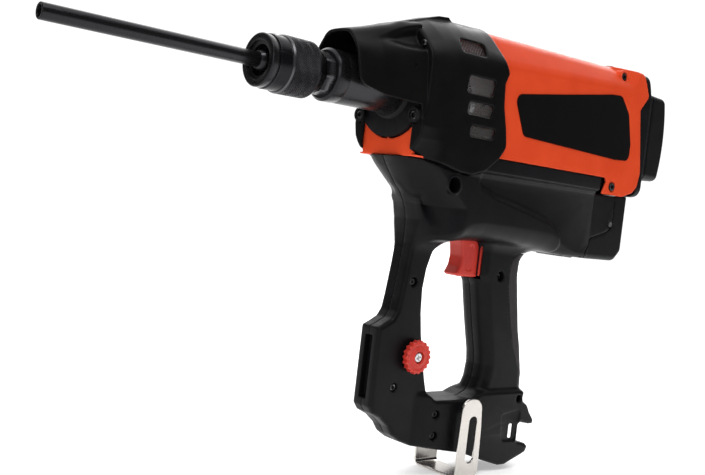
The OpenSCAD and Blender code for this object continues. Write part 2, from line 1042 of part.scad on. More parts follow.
module grip_rubber() {
    color("#4c494b")
        difference() {
            intersection() {
                along_y(2 * grip_w)
                    handle_outline();
                along_y(60)
                    rubber_outline(0.1);
                box([470, -60, -260], [540, 60, -124]);
            }
            along_y(2 * (grip_w - wall))
                offset(delta = -wall)
                    handle_outline();
        }
}

module control_board() {
    color("#1f5a34")
        union() {
            box([362, 8, -116], [404, 9.6, -82]);
            box([368, 4, -112], [380, 8, -100]);
            box([386, 2, -110], [398, 8, -92]);
            rod_y(374, -92, 4, 0, 8);
        }
}

module trigger() {
    color("#d2432c")
        difference() {
            union() {
                along_y(2 * trigger_w)
                    soft(1.5)
                        polygon([[413.5, -121.4], [417.5, -128], [418.8, -138], [417.5, -147],
                            [412.5, -156.4], [441, -156.9], [441, -121.4]]);
                box([440, -trigger_w - 2.6, -155], [443.5, trigger_w + 2.6, -123]);
            }
            rod_x(437, 450, 3, 0, -139);
        }
}

module trigger_spring() {
    color(steel)
        translate([0, 0, -139])
            coil_x(437.6, 450.8, 2.2, 0.4, 5, 12, 5);
}

module trigger_switch() {
    color("#26272b")
        union() {
            box([457, -6, -148], [476, 6, -127]);
            box([455, -3, -132], [457, 3, -129]);
            box([451.4, -4, -142], [457, 4, -136]);
        }
}

module battery_contacts() {
    color("#b58a3a")
        union() {
            box([475.2, -14, -313], [480, 14, -301]);
            for (y = [-9, 0, 9])
                box([480, y - 0.5, -311], [492, y + 0.5, -303]);
        }
}

// ---- fuel ----
module fuel_cell() {
    color("#b9bcc0")
        union() {
            rod_x(484, 604, 15.5, 0, -88);
            cone_x(479, 484, 9, 15.5, 0, -88);
            rod_x(470, 479, 5, 0, -88);
        }
}

module fuel_valve() {
    color("#d9d6c8")
        difference() {
            union() {
                box([455, -9, -98], [472.5, 9, -76]);
                rod_x(450, 455, 4, 0, -88);
                translate([462, 0, -76])
                    cylinder(r = 3.5, h = 6);
            }
            rod_x(466, 480, 5 + run, 0, -88);
        }
}

module fuel_tube() {
    color("#2d2d30")
        union() {
            translate([462, 0, -70])
                cylinder(r = 1.6, h = 20);
            translate([462, 0, -50])
                sphere(r = 1.6);
            rod_x(462, 596, 1.6, 0, -50);
            translate([596, 0, -50])
                sphere(r = 1.6);
            translate([596, 0, -50])
                cylinder(r = 1.6, h = 22);
            translate([596, 0, -28])
                sphere(r = 1.6);
            rod_x(head_x + 14, 596, 1.6, 0, -28);
        }
}

module fuel_door() {
    color(black)
        difference() {
            union() {
                intersection() {
                    difference() {
                        lower_form(0);
                        lower_form(wall);
                    }
                    along_y(120)
                        door_outline(0);
                    box([560, -60, -140], [660, 60, -63.2]);
                }
                rod_y(563.5, -128, 2.4, -11.6, 11.6);
                box([563.5, -11.6, -129.4], [570, 11.6, -127]);
            }
            rod_y(563.5, -128, 1.2 + run, -40, 40);
        }
}

module door_hinge_pin() {
    color(steel)
        rod_y(563.5, -128, 1.2, -22, 22);
}

module door_catch_pin() {
    color(steel)
        rod_y(607, -92, 2.6, -33.6, 33.6);
}

// ---- magazine clamp ----
module clamp_knob() {
    color("#e0402a")
        difference() {
            union() {
                translate([365, -15, -230])
                    rotate([90, 0, 0])
                        linear_extrude(height = 6.5)
                            union() {
                                circle(r = knob_r - 1.2);
                                for (a = [0:20:340])
                                    rotate(a)
                                        translate([knob_r - 2, 0])
                                            circle(r = 2);
                            }
                rod_y(365, -230, 4, -15, 2);
            }
            rod_y(365, -230, 5.6, -30, -19);
            rod_y(365, -230, 2.5, -30, 10);
        }
}

module knob_screw() {
    color("#d5d7da")
        difference() {
            union() {
                rod_y(365, -230, 4.4, -20.8, -19);
                rod_y(365, -230, 2.5, -19, 9);
            }
            box([362.4, -22, -230.5], [367.6, -20, -229.5]);
            box([364.5, -22, -232.6], [365.5, -20, -227.4]);
        }
}

// ---- belt hook ----
module hook_leg_outline() {
    difference() {
        union() {
            translate([436, -282])
                circle(r = 14);
            polygon([[422, -282], [450, -282], [454.5, -330], [454.5, -343], [421, -343],
                [420.5, -310]]);
        }
        for (z = [-290, -323])
            translate([437, z])
                circle(r = 5.4);
        polygon([[431.6, -290], [442.4, -290], [442.4, -323], [431.6, -323]]);
    }
}

module belt_hook() {
    color("#b8b2ab")
        union() {
            translate([0, -28 - hook_t / 2, 0])
                along_y(hook_t)
                    hook_leg_outline();
            box([421, -28, -343], [454.5, 23, -343 + hook_t]);
            translate([0, 23 + hook_t / 2, 0])
                along_y(hook_t)
                    hook_leg_outline();
        }
}

module hook_screws() {
    color("#8f9296")
        for (z = [-287, -305])
            translate([436, 0, z])
                rotate([-90, 0, 0])
                    difference() {
                        union() {
                            translate([0, 0, 23.3 + hook_t])
                                cylinder(r = 8, h = 1.2);
                            translate([0, 0, 24.5 + hook_t])
                                cylinder(r = 4.2, h = 3);
                            translate([0, 0, 7])
                                cylinder(r = screw_r, h = 18 + hook_t);
                        }
                        translate([0, 0, 26 + hook_t])
                            cylinder(r = 2, h = 4, $fn = 6);
                    }
}

barrel_tube();
barrel_sleeve();
front_ring();
neck_sleeve();
flange_ring();
neck_tube();
driver_bush();
link_yoke();
link_rods();
chamber_sleeve();
return_spring();
knurled_collar();
collar_set_pin();
driver_rod();
piston();
piston_rings();
fan();
fan_shaft();
nose_plate();
nose_screws();
cylinder_node();  // cylinder
cylinder_seal();
bumper();
cylinder_head();
head_seal();
spark_plug();
fan_motor();
ignition_coil();
front_hood();
hood_screws();
vent_mesh(-1);  // vent_mesh_left
vent_mesh(1);  // vent_mesh_right
motor_housing();
housing_screws();
top_stud();
label_panels();
rear_bezel();
rear_cap();
lower_housing_left();
lower_housing_right();
clamshell_screws();
grip_rubber();
control_board();
trigger();
trigger_spring();
trigger_switch();
battery_contacts();
fuel_cell();
fuel_valve();
fuel_tube();
fuel_door();
door_hinge_pin();
door_catch_pin();
clamp_knob();
knob_screw();
belt_hook();
hook_screws();
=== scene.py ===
"""Looks for the long-barrel gas fastening tool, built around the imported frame."""

import json
import math

import bmesh
import bpy
import numpy as np
from mathutils import Matrix, Vector


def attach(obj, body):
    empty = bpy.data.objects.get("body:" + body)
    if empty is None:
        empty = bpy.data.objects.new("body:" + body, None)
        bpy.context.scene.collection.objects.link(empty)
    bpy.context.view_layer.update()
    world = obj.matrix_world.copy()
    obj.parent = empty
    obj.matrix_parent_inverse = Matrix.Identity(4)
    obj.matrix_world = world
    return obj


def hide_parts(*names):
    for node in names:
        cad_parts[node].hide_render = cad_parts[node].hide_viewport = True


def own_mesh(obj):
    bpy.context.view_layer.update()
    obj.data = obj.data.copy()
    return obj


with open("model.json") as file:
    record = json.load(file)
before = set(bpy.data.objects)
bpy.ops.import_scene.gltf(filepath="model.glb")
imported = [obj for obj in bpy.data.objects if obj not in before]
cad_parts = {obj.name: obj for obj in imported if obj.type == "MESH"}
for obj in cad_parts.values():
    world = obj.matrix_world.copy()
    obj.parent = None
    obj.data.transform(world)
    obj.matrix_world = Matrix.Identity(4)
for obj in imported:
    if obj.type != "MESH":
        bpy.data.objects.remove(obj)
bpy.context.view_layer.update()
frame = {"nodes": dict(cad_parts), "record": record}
nodes = frame["nodes"]
F32 = np.float32


# -------- solid fields
# Shells are fields on a grid in millimetres: negative inside, positive outside.
class Grid:
    def __init__(self, lo, hi, fine, coarse=None):
        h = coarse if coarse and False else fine
        self.h = h
        self.lo = np.array(lo, F32)
        self.n = [int(math.ceil((b - a) / h)) + 1 for a, b in zip(lo, hi)]
        x, y, z = (F32(a) + F32(h) * np.arange(n, dtype=F32) for a, n in zip(lo, self.n))
        self.x, self.y, self.z = x, y, z
        self.X, self.Y, self.Z = x[:, None, None], y[None, :, None], z[None, None, :]
        self.XZ = (x[:, None], z[None, :])

    def flat(self, a):
        """A field over X and Z, made ready to meet the whole grid."""
        return a[:, None, :]

    def beyond(self, w):
        """Distance outside the half width w, given over X and Z."""
        a, b = np.gradient(w, self.h)
        return (np.abs(self.Y) - self.flat(w)) / self.flat(np.sqrt(1 + a * a + b * b))


def fillet(points, r=0.0, steps=5):
    """The outline with its corners rounded. A third number gives a corner its own radius."""
    pts = [(p[0], p[1], p[2] if len(p) > 2 else r) for p in points]
    out = []
    for i, (x, z, rad) in enumerate(pts):
        a = Vector(pts[i - 1][:2]) - Vector((x, z))
        b = Vector(pts[(i + 1) % len(pts)][:2]) - Vector((x, z))
        if rad <= 0 or a.length < 1e-6 or b.length < 1e-6:
            out.append((x, z))
            continue
        u, v = a.normalized(), b.normalized()
        half = math.acos(max(-1, min(1, u.dot(v)))) / 2
        if half > 1.54 or half < 0.05:
            out.append((x, z))
            continue
        t = min(rad / math.tan(half), a.length * 0.48, b.length * 0.48)
        rr = t * math.tan(half)
        mid = (u + v).normalized() * (rr / math.sin(half))
        c = Vector((x, z)) + mid
        p0, p1 = Vector((x, z)) + u * t - c, Vector((x, z)) + v * t - c
        a0 = math.atan2(p0.y, p0.x)
        turn = math.atan2(p0.x * p1.y - p0.y * p1.x, p0.dot(p1))
        for k in range(steps + 1):
            w = a0 + turn * k / steps
            out.append((c.x + rr * math.cos(w), c.y + rr * math.sin(w)))
    return out


def poly(points, U, V):
    """Signed distance to a closed outline."""
    p = np.array(points, F32)
    U, V = np.broadcast_arrays(U, V)
    d = np.full(U.shape, 1e9, F32)
    inside = np.zeros(U.shape, bool)
    for a, b in zip(p, np.roll(p, -1, 0)):
        e = b - a
        n = float(e @ e)
        if n < 1e-9:
            continue
        wx, wz = U - a[0], V - a[1]
        t = np.clip((wx * e[0] + wz * e[1]) / n, 0, 1)
        d = np.minimum(d, (wx - e[0] * t) ** 2 + (wz - e[1] * t) ** 2)
        if abs(e[1]) > 1e-9:
            c = (a[1] <= V) != (b[1] <= V)
            inside ^= c & (U < a[0] + (V - a[1]) / e[1] * e[0])
    return np.where(inside, -1, 1).astype(F32) * np.sqrt(d)


def smin(a, b, k):
    h = np.maximum(k - np.abs(a - b), 0) / k
    return np.minimum(a, b) - h * h * k * 0.25


def smax(a, b, k):
    return -smin(-a, -b, k)


def extrude(d, w, r):
    """An outline's field d crossed with a width's field w, its edges rounded by r."""
    a, b = d + r, w + r
    return np.minimum(np.maximum(a, b), 0) + np.hypot(np.maximum(a, 0), np.maximum(b, 0)) - r


def cut(f, g, k=0.9):
    return smax(f, -g, k)


def box_field(g, lo, hi, r=0.0):
    lo, hi = np.array(lo, F32), np.array(hi, F32)
    c, s = (lo + hi) / 2, (hi - lo) / 2 - r
    q = [np.abs(a - F32(m)) - F32(e) for a, m, e in zip((g.X, g.Y, g.Z), c, s)]
    out = np.sqrt(sum(np.maximum(v, 0) ** 2 for v in q))
    return out + np.minimum(np.maximum(np.maximum(q[0], q[1]), q[2]), 0) - r


def around(g, place):
    """Distance from an axis along Y through a place in X and Z."""
    return np.hypot(g.X - place[0], g.Z - place[1])


def cyl_y(g, x, z, r, y0, y1):
    d = around(g, (x, z)) - r
    return np.maximum(d, np.maximum(y0 - g.Y, g.Y - y1))


def cyl_x(g, y, z, r, x0, x1):
    d = np.hypot(g.Y - y, g.Z - z) - r
    return np.maximum(d, np.maximum(x0 - g.X, g.X - x1))


def incline(u, v, a, b):
    """Distance beyond a sloping face whose normal runs along a and b."""
    return (u * a + v * b) / np.sqrt(a * a + b * b)


def smooth(a, b, t):
    u = np.clip((t - a) / (b - a), 0, 1)
    return u * u * (3 - 2 * u)


def interp(v, xs, ys):
    return np.interp(v, xs, ys).astype(F32)


def surface(f, g):
    """Surface nets: one vertex for each cell that the surface crosses."""
    s = f < 0
    n0, n1, n2 = f.shape
    corners = [(i, j, k) for i in (0, 1) for j in (0, 1) for k in (0, 1)]
    core = [s[i:n0 - 1 + i, j:n1 - 1 + j, k:n2 - 1 + k] for i, j, k in corners]
    total = sum(c.astype(np.int8) for c in core)
    cells = np.argwhere((total > 0) & (total < 8))
    index = np.full((n0 - 1, n1 - 1, n2 - 1), -1, np.int32)
    index[cells[:, 0], cells[:, 1], cells[:, 2]] = np.arange(len(cells))
    ci = cells.T
    corner = {(i, j, k): f[ci[0] + i, ci[1] + j, ci[2] + k] for i, j, k in corners}
    acc = np.zeros((len(cells), 3), F32)
    cnt = np.zeros(len(cells), F32)
    for a in corner:
        for axis in range(3):
            if a[axis]:
                continue
            b = tuple(1 if q == axis else v for q, v in enumerate(a))
            fa, fb = corner[a], corner[b]
            hit = (fa < 0) != (fb < 0)
            t = np.where(hit, fa / np.where(hit, fa - fb, 1), 0)
            p = np.array(a, F32)[None, :].repeat(len(cells), 0)
            p[:, axis] = t
            acc += p * hit[:, None]
            cnt += hit
    verts = g.lo + g.h * (cells + acc / cnt[:, None])
    quads = []
    for axis in range(3):
        u, v = [(1, 2), (2, 0), (0, 1)][axis]
        lo = [slice(0, n) for n in f.shape]
        hi = [slice(0, n) for n in f.shape]
        lo[axis], hi[axis] = slice(0, f.shape[axis] - 1), slice(1, f.shape[axis])
        a, b = s[tuple(lo)], s[tuple(hi)]
        e = np.argwhere(a != b)
        ok = (e[:, u] > 0) & (e[:, v] > 0) & (e[:, u] < f.shape[u] - 1) & (e[:, v] < f.shape[v] - 1)
        e = e[ok]
        flip = a[e[:, 0], e[:, 1], e[:, 2]]
        ids = []
        for du, dv in ((0, 0), (-1, 0), (-1, -1), (0, -1)):
            q = e.copy()
            q[:, u] += du
            q[:, v] += dv
            ids.append(index[q[:, 0], q[:, 1], q[:, 2]])
        q = np.stack(ids, 1)
        q[~flip] = q[~flip][:, ::-1]
        quads.append(q)
    return verts.astype(np.float64), np.concatenate(quads)


def add(name, data):
    """A new object in the scene."""
    o = bpy.data.objects.new(name, data)
    bpy.context.scene.collection.objects.link(o)
    return o


def new_mesh(name, verts, faces):
    """An object from vertices in millimetres and faces."""
    me = bpy.data.meshes.new(name)
    verts = np.asarray(verts, np.float64) * 0.001
    if isinstance(faces, np.ndarray):
        k = faces.shape[1]
        me.vertices.add(len(verts))
        me.vertices.foreach_set("co", verts.ravel())
        me.loops.add(faces.size)
        me.loops.foreach_set("vertex_index", faces.astype(np.int32).ravel())
        me.polygons.add(len(faces))
        me.polygons.foreach_set("loop_start", np.arange(0, faces.size, k, dtype=np.int32))
        me.update(calc_edges=True)
    else:
        me.from_pydata([tuple(v) for v in verts], [], faces)
        me.update()
    me.validate()
    return add(name, me)


def apply_modifiers(o):
    dg = bpy.context.evaluated_depsgraph_get()
    me = bpy.data.meshes.new_from_object(o.evaluated_get(dg))
    o.modifiers.clear()
    old = o.data
    o.data = me
    bpy.data.meshes.remove(old)


def shade(o, angle=None):
    me = o.data
    me.polygons.foreach_set("use_smooth", np.ones(len(me.polygons), bool))
    if angle:
        bm = bmesh.new()
        bm.from_mesh(me)
        for e in bm.edges:
            if len(e.link_faces) == 2 and e.calc_face_angle(0) > math.radians(angle):
                e.smooth = False
        bm.to_mesh(me)
        bm.free()
    me.update()


def thin(o, keep, angle):
    """Leaves that share of the faces, where the surface needs them most."""
    o.modifiers.new("thin", "DECIMATE").ratio = keep
    apply_modifiers(o)
    shade(o, angle)


def drop_islands(verts, faces, least=60):
    """Leaves out scraps of surface with fewer vertices than that."""
    parent = np.arange(len(verts))
    while True:
        low = parent[faces].min(1)
        new = parent.copy()
        for k in range(faces.shape[1]):
            np.minimum.at(new, faces[:, k], low)
        new = new[new]
        if (new == parent).all():
            break
        parent = new
    root, counts = np.unique(parent, return_counts=True)
    good = np.isin(parent, root[counts >= least])
    keep = good[faces].all(1)
    ids = np.full(len(verts), -1)
    ids[good] = np.arange(good.sum())
    return verts[good], ids[faces[keep]]


def piece(name, body, node, look, slot=None):
    """Gives a finished mesh its material and its body, and hides the CAD node that it stands for. slot is not
    used.
    """
    o = bpy.data.objects[name]
    o.data.materials.clear()
    o.data.materials.append(MAT[look])
    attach(o, body)
    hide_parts(node)


def shell(name, f, g, keep, *what):
    """The field's surface as a piece, thinned where it is flat. piece() takes the rest of the values."""
    verts, faces = surface(f, g)
    verts, faces = drop_islands(verts, faces)
    thin(new_mesh(name, verts, faces), keep, 38)
    piece(name, *what)


# -------- materials
def nd(nt, kind, **kw):
    n = nt.nodes.new(kind)
    for k, v in kw.items():
        if k in n.inputs.keys():
            n.inputs[k].default_value = v
        else:
            setattr(n, k, v)
    return n


def base_material(name):
    m = bpy.data.materials.new(name)
    m.use_nodes = True
    nt = m.node_tree
    return m, nt, nt.nodes["Principled BSDF"], nd(nt, "ShaderNodeTexCoord")


def ramp(nt, source, stops):
    r = nd(nt, "ShaderNodeValToRGB")
    while len(r.color_ramp.elements) < len(stops):
        r.color_ramp.elements.new(0.5)
    for e, (p, c) in zip(r.color_ramp.elements, stops):
        e.position = p
        e.color = (*c, 1) if len(c) == 3 else c
    nt.links.new(source, r.inputs[0])
    return r.outputs[0]


def noise(nt, tc, scale, detail=4, rough=0.55, stretch=None):
    n = nd(nt, "ShaderNodeTexNoise", Scale=scale, Detail=detail, Roughness=rough)
    src = tc.outputs["Object"]
    if stretch:
        mp = nd(nt, "ShaderNodeMapping", Scale=stretch)
        nt.links.new(src, mp.inputs["Vector"])
        src = mp.outputs[0]
    nt.links.new(src, n.inputs["Vector"])
    return n.outputs["Fac"]


def mix(nt, fac, a, b):
    n = nd(nt, "ShaderNodeMix", data_type="RGBA")
    if isinstance(fac, (int, float)):
        n.inputs[0].default_value = fac
    else:
        nt.links.new(fac, n.inputs[0])
    for i, v in ((6, a), (7, b)):
        if isinstance(v, tuple):
            n.inputs[i].default_value = (*v, 1)
        else:
            nt.links.new(v, n.inputs[i])
    return n.outputs[2]


def bump(nt, bsdf, height, strength, distance):
    b = nd(nt, "ShaderNodeBump", Strength=strength, Distance=distance)
    nt.links.new(height, b.inputs["Height"])
    nt.links.new(b.outputs[0], bsdf.inputs["Normal"])


def edge_wear(nt, low=0.52, high=0.58):
    """Bright on convex edges."""
    geo = nd(nt, "ShaderNodeNewGeometry")
    return ramp(nt, geo.outputs["Pointiness"], [(low, (0, 0, 0)), (high, (1, 1, 1))])


def plastic(name, color, light, rough=0.42, grain=1900, grain_depth=0.00006, wear=None, spec=0.3):
    """Moulded plastic: fine spark-eroded grain, faint cloudiness, and paler rubbed edges."""
    m, nt, b, tc = base_material(name)
    cloud = noise(nt, tc, 28, 3)
    col = mix(nt, ramp(nt, cloud, [(0.35, (0, 0, 0)), (0.7, (1, 1, 1))]), color, light)
    if wear:
        col = mix(nt, edge_wear(nt), col, wear)
    nt.links.new(col, b.inputs["Base Color"])
    nt.links.new(ramp(nt, noise(nt, tc, 90, 5), [(0.3, (rough - 0.05,) * 3), (0.75, (rough + 0.07,) * 3)]),
                 b.inputs["Roughness"])
    b.inputs["Specular IOR Level"].default_value = spec
    bump(nt, b, noise(nt, tc, grain, 2, 0.6), 0.35, grain_depth)
    return m


def metal(name, color, light, rough=0.3, stretch=(1, 40, 40), metallic=1.0, scale=120, wear=None,
          depth=0.00002):
    """Turned, drawn or brushed metal: fine lines along one direction."""
    m, nt, b, tc = base_material(name)
    lines = noise(nt, tc, scale, 6, 0.7, stretch)
    col = mix(nt, ramp(nt, lines, [(0.35, (0, 0, 0)), (0.68, (1, 1, 1))]), color, light)
    smear = noise(nt, tc, 22, 4)
    dull = tuple(v * 0.55 for v in color)
    col = mix(nt, ramp(nt, smear, [(0.45, (0, 0, 0)), (0.85, (0.35,) * 3)]), col, dull)
    if wear:
        col = mix(nt, edge_wear(nt), col, wear)
    nt.links.new(col, b.inputs["Base Color"])
    nt.links.new(ramp(nt, lines, [(0.3, (max(rough - 0.08, 0.02),) * 3), (0.75, (rough + 0.1,) * 3)]),
                 b.inputs["Roughness"])
    b.inputs["Metallic"].default_value = metallic
    bump(nt, b, lines, 0.25, depth)
    return m


MAT = {
    "black_plastic": plastic("moulded_black", (0.0030, 0.0031, 0.0038), (0.0048, 0.0049, 0.0058), 0.40,
                             wear=(0.010, 0.010, 0.011), spec=0.12),
    "hood_black": plastic("hood_black", (0.0036, 0.0036, 0.0036), (0.0052, 0.0052, 0.0050), 0.33,
                          wear=(0.012, 0.012, 0.0118), spec=0.07),
    "orange_plastic": plastic("moulded_orange", (0.66, 0.062, 0.019), (0.72, 0.074, 0.023), 0.34,
                              wear=(0.8, 0.1, 0.045), spec=0.02),
    "red_plastic": plastic("moulded_red", (0.56, 0.035, 0.024), (0.64, 0.046, 0.030), 0.38,
                           wear=(0.72, 0.09, 0.07)),
    "label_film": plastic("label_gloss", (0.0022, 0.0018, 0.0019), (0.003, 0.0024, 0.0025), 0.12,
                          grain=700, grain_depth=0.00001, spec=0.25),
    "grip_rubber": plastic("soft_grip", (0.030, 0.027, 0.028), (0.040, 0.036, 0.037), 0.68,
                           grain=1400, grain_depth=0.00012, wear=(0.05, 0.047, 0.047), spec=0.2),
    "blued_steel": metal("blued_steel", (0.010, 0.010, 0.0115), (0.02, 0.02, 0.0225), 0.27,
                         metallic=0.85, wear=(0.08, 0.08, 0.085)),
    "steel": metal("turned_steel", (0.42, 0.42, 0.43), (0.6, 0.6, 0.61), 0.28),
    "spring_steel": metal("drawn_wire", (0.30, 0.30, 0.31), (0.45, 0.45, 0.46), 0.3, scale=400),
    "bronze": metal("bearing_bronze", (0.42, 0.26, 0.09), (0.55, 0.36, 0.14), 0.35),
    "cast_aluminium": metal("cast_aluminium", (0.42, 0.43, 0.44), (0.55, 0.56, 0.57), 0.45,
                            stretch=(1, 1, 1), scale=260, depth=0.0001),
    "o_ring": plastic("nitrile", (0.01, 0.01, 0.01), (0.015, 0.015, 0.015), 0.5),
    "bumper_rubber": plastic("bumper_rubber", (0.02, 0.02, 0.021), (0.03, 0.03, 0.031), 0.7),
    "white_plastic": plastic("natural_nylon", (0.62, 0.60, 0.54), (0.72, 0.70, 0.64), 0.42),
    "ceramic": plastic("glazed_ceramic", (0.72, 0.69, 0.63), (0.8, 0.77, 0.71), 0.18, grain=300,
                       grain_depth=0.00001),
    "motor_can": metal("plated_can", (0.38, 0.38, 0.38), (0.52, 0.52, 0.52), 0.3, stretch=(30, 1, 1)),
    "coil_resin": plastic("coil_resin", (0.02, 0.025, 0.04), (0.03, 0.035, 0.05), 0.3),
    "circuit_board": plastic("board_green", (0.01, 0.09, 0.03), (0.02, 0.13, 0.05), 0.3),
    "switch_plastic": plastic("switch_black", (0.012, 0.012, 0.014), (0.018, 0.018, 0.02), 0.4),
    "contact_brass": metal("plated_brass", (0.55, 0.38, 0.12), (0.7, 0.5, 0.2), 0.25, scale=300),
    "mesh_steel": metal("woven_wire", (0.24, 0.23, 0.23), (0.44, 0.42, 0.42), 0.34, scale=600,
                        stretch=(1, 1, 1)),
    "screw_steel": metal("black_oxide", (0.02, 0.02, 0.021), (0.05, 0.05, 0.052), 0.34, metallic=0.9,
                         scale=500, stretch=(1, 1, 1), wear=(0.2, 0.2, 0.2)),
    "zinc_screw": metal("zinc_plate", (0.55, 0.55, 0.56), (0.75, 0.75, 0.76), 0.22, scale=500,
                        stretch=(1, 1, 1)),
    "stainless": metal("brushed_stainless", (0.50, 0.47, 0.44), (0.72, 0.69, 0.65), 0.24,
                       stretch=(14, 14, 1), scale=260, wear=(0.85, 0.83, 0.8)),
    "cell_can": metal("drawn_can", (0.5, 0.51, 0.52), (0.66, 0.67, 0.68), 0.25, stretch=(1, 30, 30)),
    "hose": plastic("hose_rubber", (0.015, 0.015, 0.016), (0.022, 0.022, 0.023), 0.55),
}

# -------- outlines, in millimetres
HOOD = fillet([(248.5, 90), (248.5, 44), (250, 20), (250.5, -5.5, 9), (275, -11.5, 20), (313, -13.5),
               (313, -50.2, 1), (327, -55.8), (345, -59.5, 10),
               (365, -63.8, 14), (381, -64.5, 14), (398, -59, 12), (413, -47, 7), (421, -36, 9),
               (418, -20, 20), (412, 0, 20), (410, 20, 5), (414, 29, 1.2), (410, 42, 9),
               (406, 60, 10), (403, 90)])
MOTOR = fillet([(320, 90), (320, -46), (579, -46, 1), (582, -50, 2), (576, -62.5, 1), (612, -62.5, 4),
                (628, -57, 8), (635, -50, 6), (638, -35, 8), (625, 28.6, 2), (638.3, 45, 4),
                (634, 66, 6), (632, 90)])
BODY = fillet([(312.5, -57), (318, -65), (331, -80), (345, -92), (349.5, -98), (351, -104),
               (356, -125), (378, -125), (414, -121), (440, -121.5), (487, -123.5), (540, -128.5),
               (580, -129.5), (624, -129.5, 9), (634.5, -119, 9), (634.5, -40), (312.5, -40)], 4)
HANDLE = fillet([(345, -90), (350, -108), (349.7, -122, 6), (347, -150), (343.5, -178, 10),
                 (341.5, -190, 8), (337, -197, 6), (328, -202, 8), (321.5, -205, 1.5),
                 (321.5, -275, 3), (326, -281, 5), (337, -286, 10), (347, -294, 8), (353, -302, 8),
                 (363, -308, 10), (377, -313, 14), (407, -317.5, 20), (442, -322.7, 20),
                 (465, -330.6, 20), (482, -335.5, 14), (493, -338.5, 6), (502.4, -338.6, 6),
                 (511.3, -335.2, 6), (520.4, -332.4, 6), (531.5, -328.3, 4), (534.5, -322, 2),
                 (530, -319, 3), (516, -316, 1), (516, -299, 1), (520, -297.5, 1), (531.5, -300, 1),
                 (538, -300, 1), (538.4, -295.2, 1.5), (531.5, -287.7, 3), (526.8, -280.4, 4),
                 (519.5, -276, 2), (518.5, -272, 3), (521, -262, 6), (520, -248, 12), (513, -219, 20),
                 (508.5, -205, 20), (501.5, -172, 16), (497.5, -152, 10), (498, -139, 8),
                 (503.7, -131, 8), (515, -123), (515, -110), (360, -110)])
LOOP = fillet([(398, -120, 8), (386, -125, 10), (377, -136, 10), (372, -152, 14), (370, -170, 20),
               (371.5, -190, 20), (375, -210, 20), (380, -230, 20), (386, -252, 14), (390, -264, 6),
               (398, -271, 6), (442, -271, 8), (454, -266, 8), (459.5, -254, 8), (461, -240, 8),
               (459.5, -230, 12), (451, -200, 20), (445, -176, 14), (442, -164, 4), (437, -156, 1.5),
               (437, -122, 0.5), (430, -120)])
DOOR = fillet([(611, -60), (613, -86, 2), (611.5, -94, 5), (606, -99.5, 5), (598, -102.6, 4),
               (577, -108.5, 5), (572.5, -117, 5), (569, -123, 4), (569, -140), (660, -140), (660, -60)])
RUBBER = fillet([(490, -130.5, 5), (482, -136, 5), (478, -147, 8), (479.5, -164, 10), (483.5, -180, 20),
                 (488, -197, 20), (497, -224, 20), (506, -241, 8), (516, -254, 3), (540, -250),
                 (540, -130.5)])
RECESS = fillet([(396, -70), (400, -77, 4), (424, -84, 20), (466, -92, 20), (501, -100, 20),
                 (519, -109, 8), (522, -122), (522, -150), (700, -150), (700, -40), (396, -40)])
LABEL = fillet([(428, 14), (446, -22), (590, -26.5), (614, -25), (614, -8), (605, 22), (590, 38),
                (574, 37), (500, 25)], 7)
WINDOW_BOXES = ((356, 39.5, 389, 51), (362, 5, 398, 20), (365, -13, 399, -2), (371, -32, 405, -22))
WINDOWS = [fillet([(x0, z0), (x1 - 3, z0), (x1, z1), (x0 + 2, z1)], 3) for x0, z0, x1, z1 in WINDOW_BOXES]

# Places in X and Z, and sizes that more than one piece uses. Each clamshell screw has its X and Z,
# how far from the middle its head sits, and its well's radius.
CLAM = ((366, -75, 26, 7), (356.5, -164, 8, 4.4), (466, -154, 11, 4.8), (347, -258, 9, 4),
        (400, -284, 13, 4), (400, -304, 13, 4))
KNOB = (365, -230)
HINGE = (563.5, -128)
CATCH = (607, -92)
UPPER_BOSS = (604, 60)
LOWER_BOSS = (592, -54)
NOSE_BOLTS = ((34.5, -22), (30.5, 24.5))  # in Y and Z
WALL = 2.6
GAP = 0.35
SCREW_HOLE = 1.65
KNUCKLE = 2.4
HINGE_HOLE = 1.25
CATCH_HOLE = 2.7


# -------- lower housing, door and grip insert
def lower_outer(g):
    """The lower body with its handle and foot, solid."""
    x, z = g.XZ
    plan = interp(x, [300, 314, 330, 346, 400, 573, 574, 660], [19, 21, 32, 38, 39.6, 39.6, 36.4, 36.4])
    # the long recess in each side
    step = smooth(0, 7.5, -poly(RECESS, x, z)) * 4.4 * (1 - smooth(-62, -58.5, z))
    flare = 1.3 * smooth(-66, -61, z) + 0 * x
    w = np.minimum(plan, 38.4 + flare) - step
    w = np.where(x > 573, np.minimum(w, 36.2), w)
    # narrowing to the front edge below the nose
    w = smin(w, np.maximum(x + 1.225 * z - 223.6, x - 339.5) - 0.5, 9)
    r = 5 + 13 * smooth(362, 400, x) * (1 - smooth(505, 560, x)) * smooth(-88, -108, z)
    r = np.minimum(r, np.maximum(w - 6, 3))
    body = extrude(g.flat(poly(BODY, x, z)), g.beyond(w), g.flat(r))
    ring = np.maximum(poly(HANDLE, x, z), -poly(LOOP, x, z))
    base_w = interp(x, [371, 400, 425], [12.5, 17.5, 20.5]) + 0 * z
    leg_w = 12.5 + 6 * smooth(-140, -104, z) + 0 * x
    low = smooth(-262, -268, z) * smooth(371, 380, x)
    upper = np.where(x > 415, F32(17), leg_w)
    hw = upper * (1 - low) + base_w * low
    hr = np.where(x > 415, 12.5, 4.0) * (1 - low) + 3.5 * low
    hand = extrude(g.flat(ring), g.beyond(hw), g.flat(hr))
    return smin(body, hand, 11)


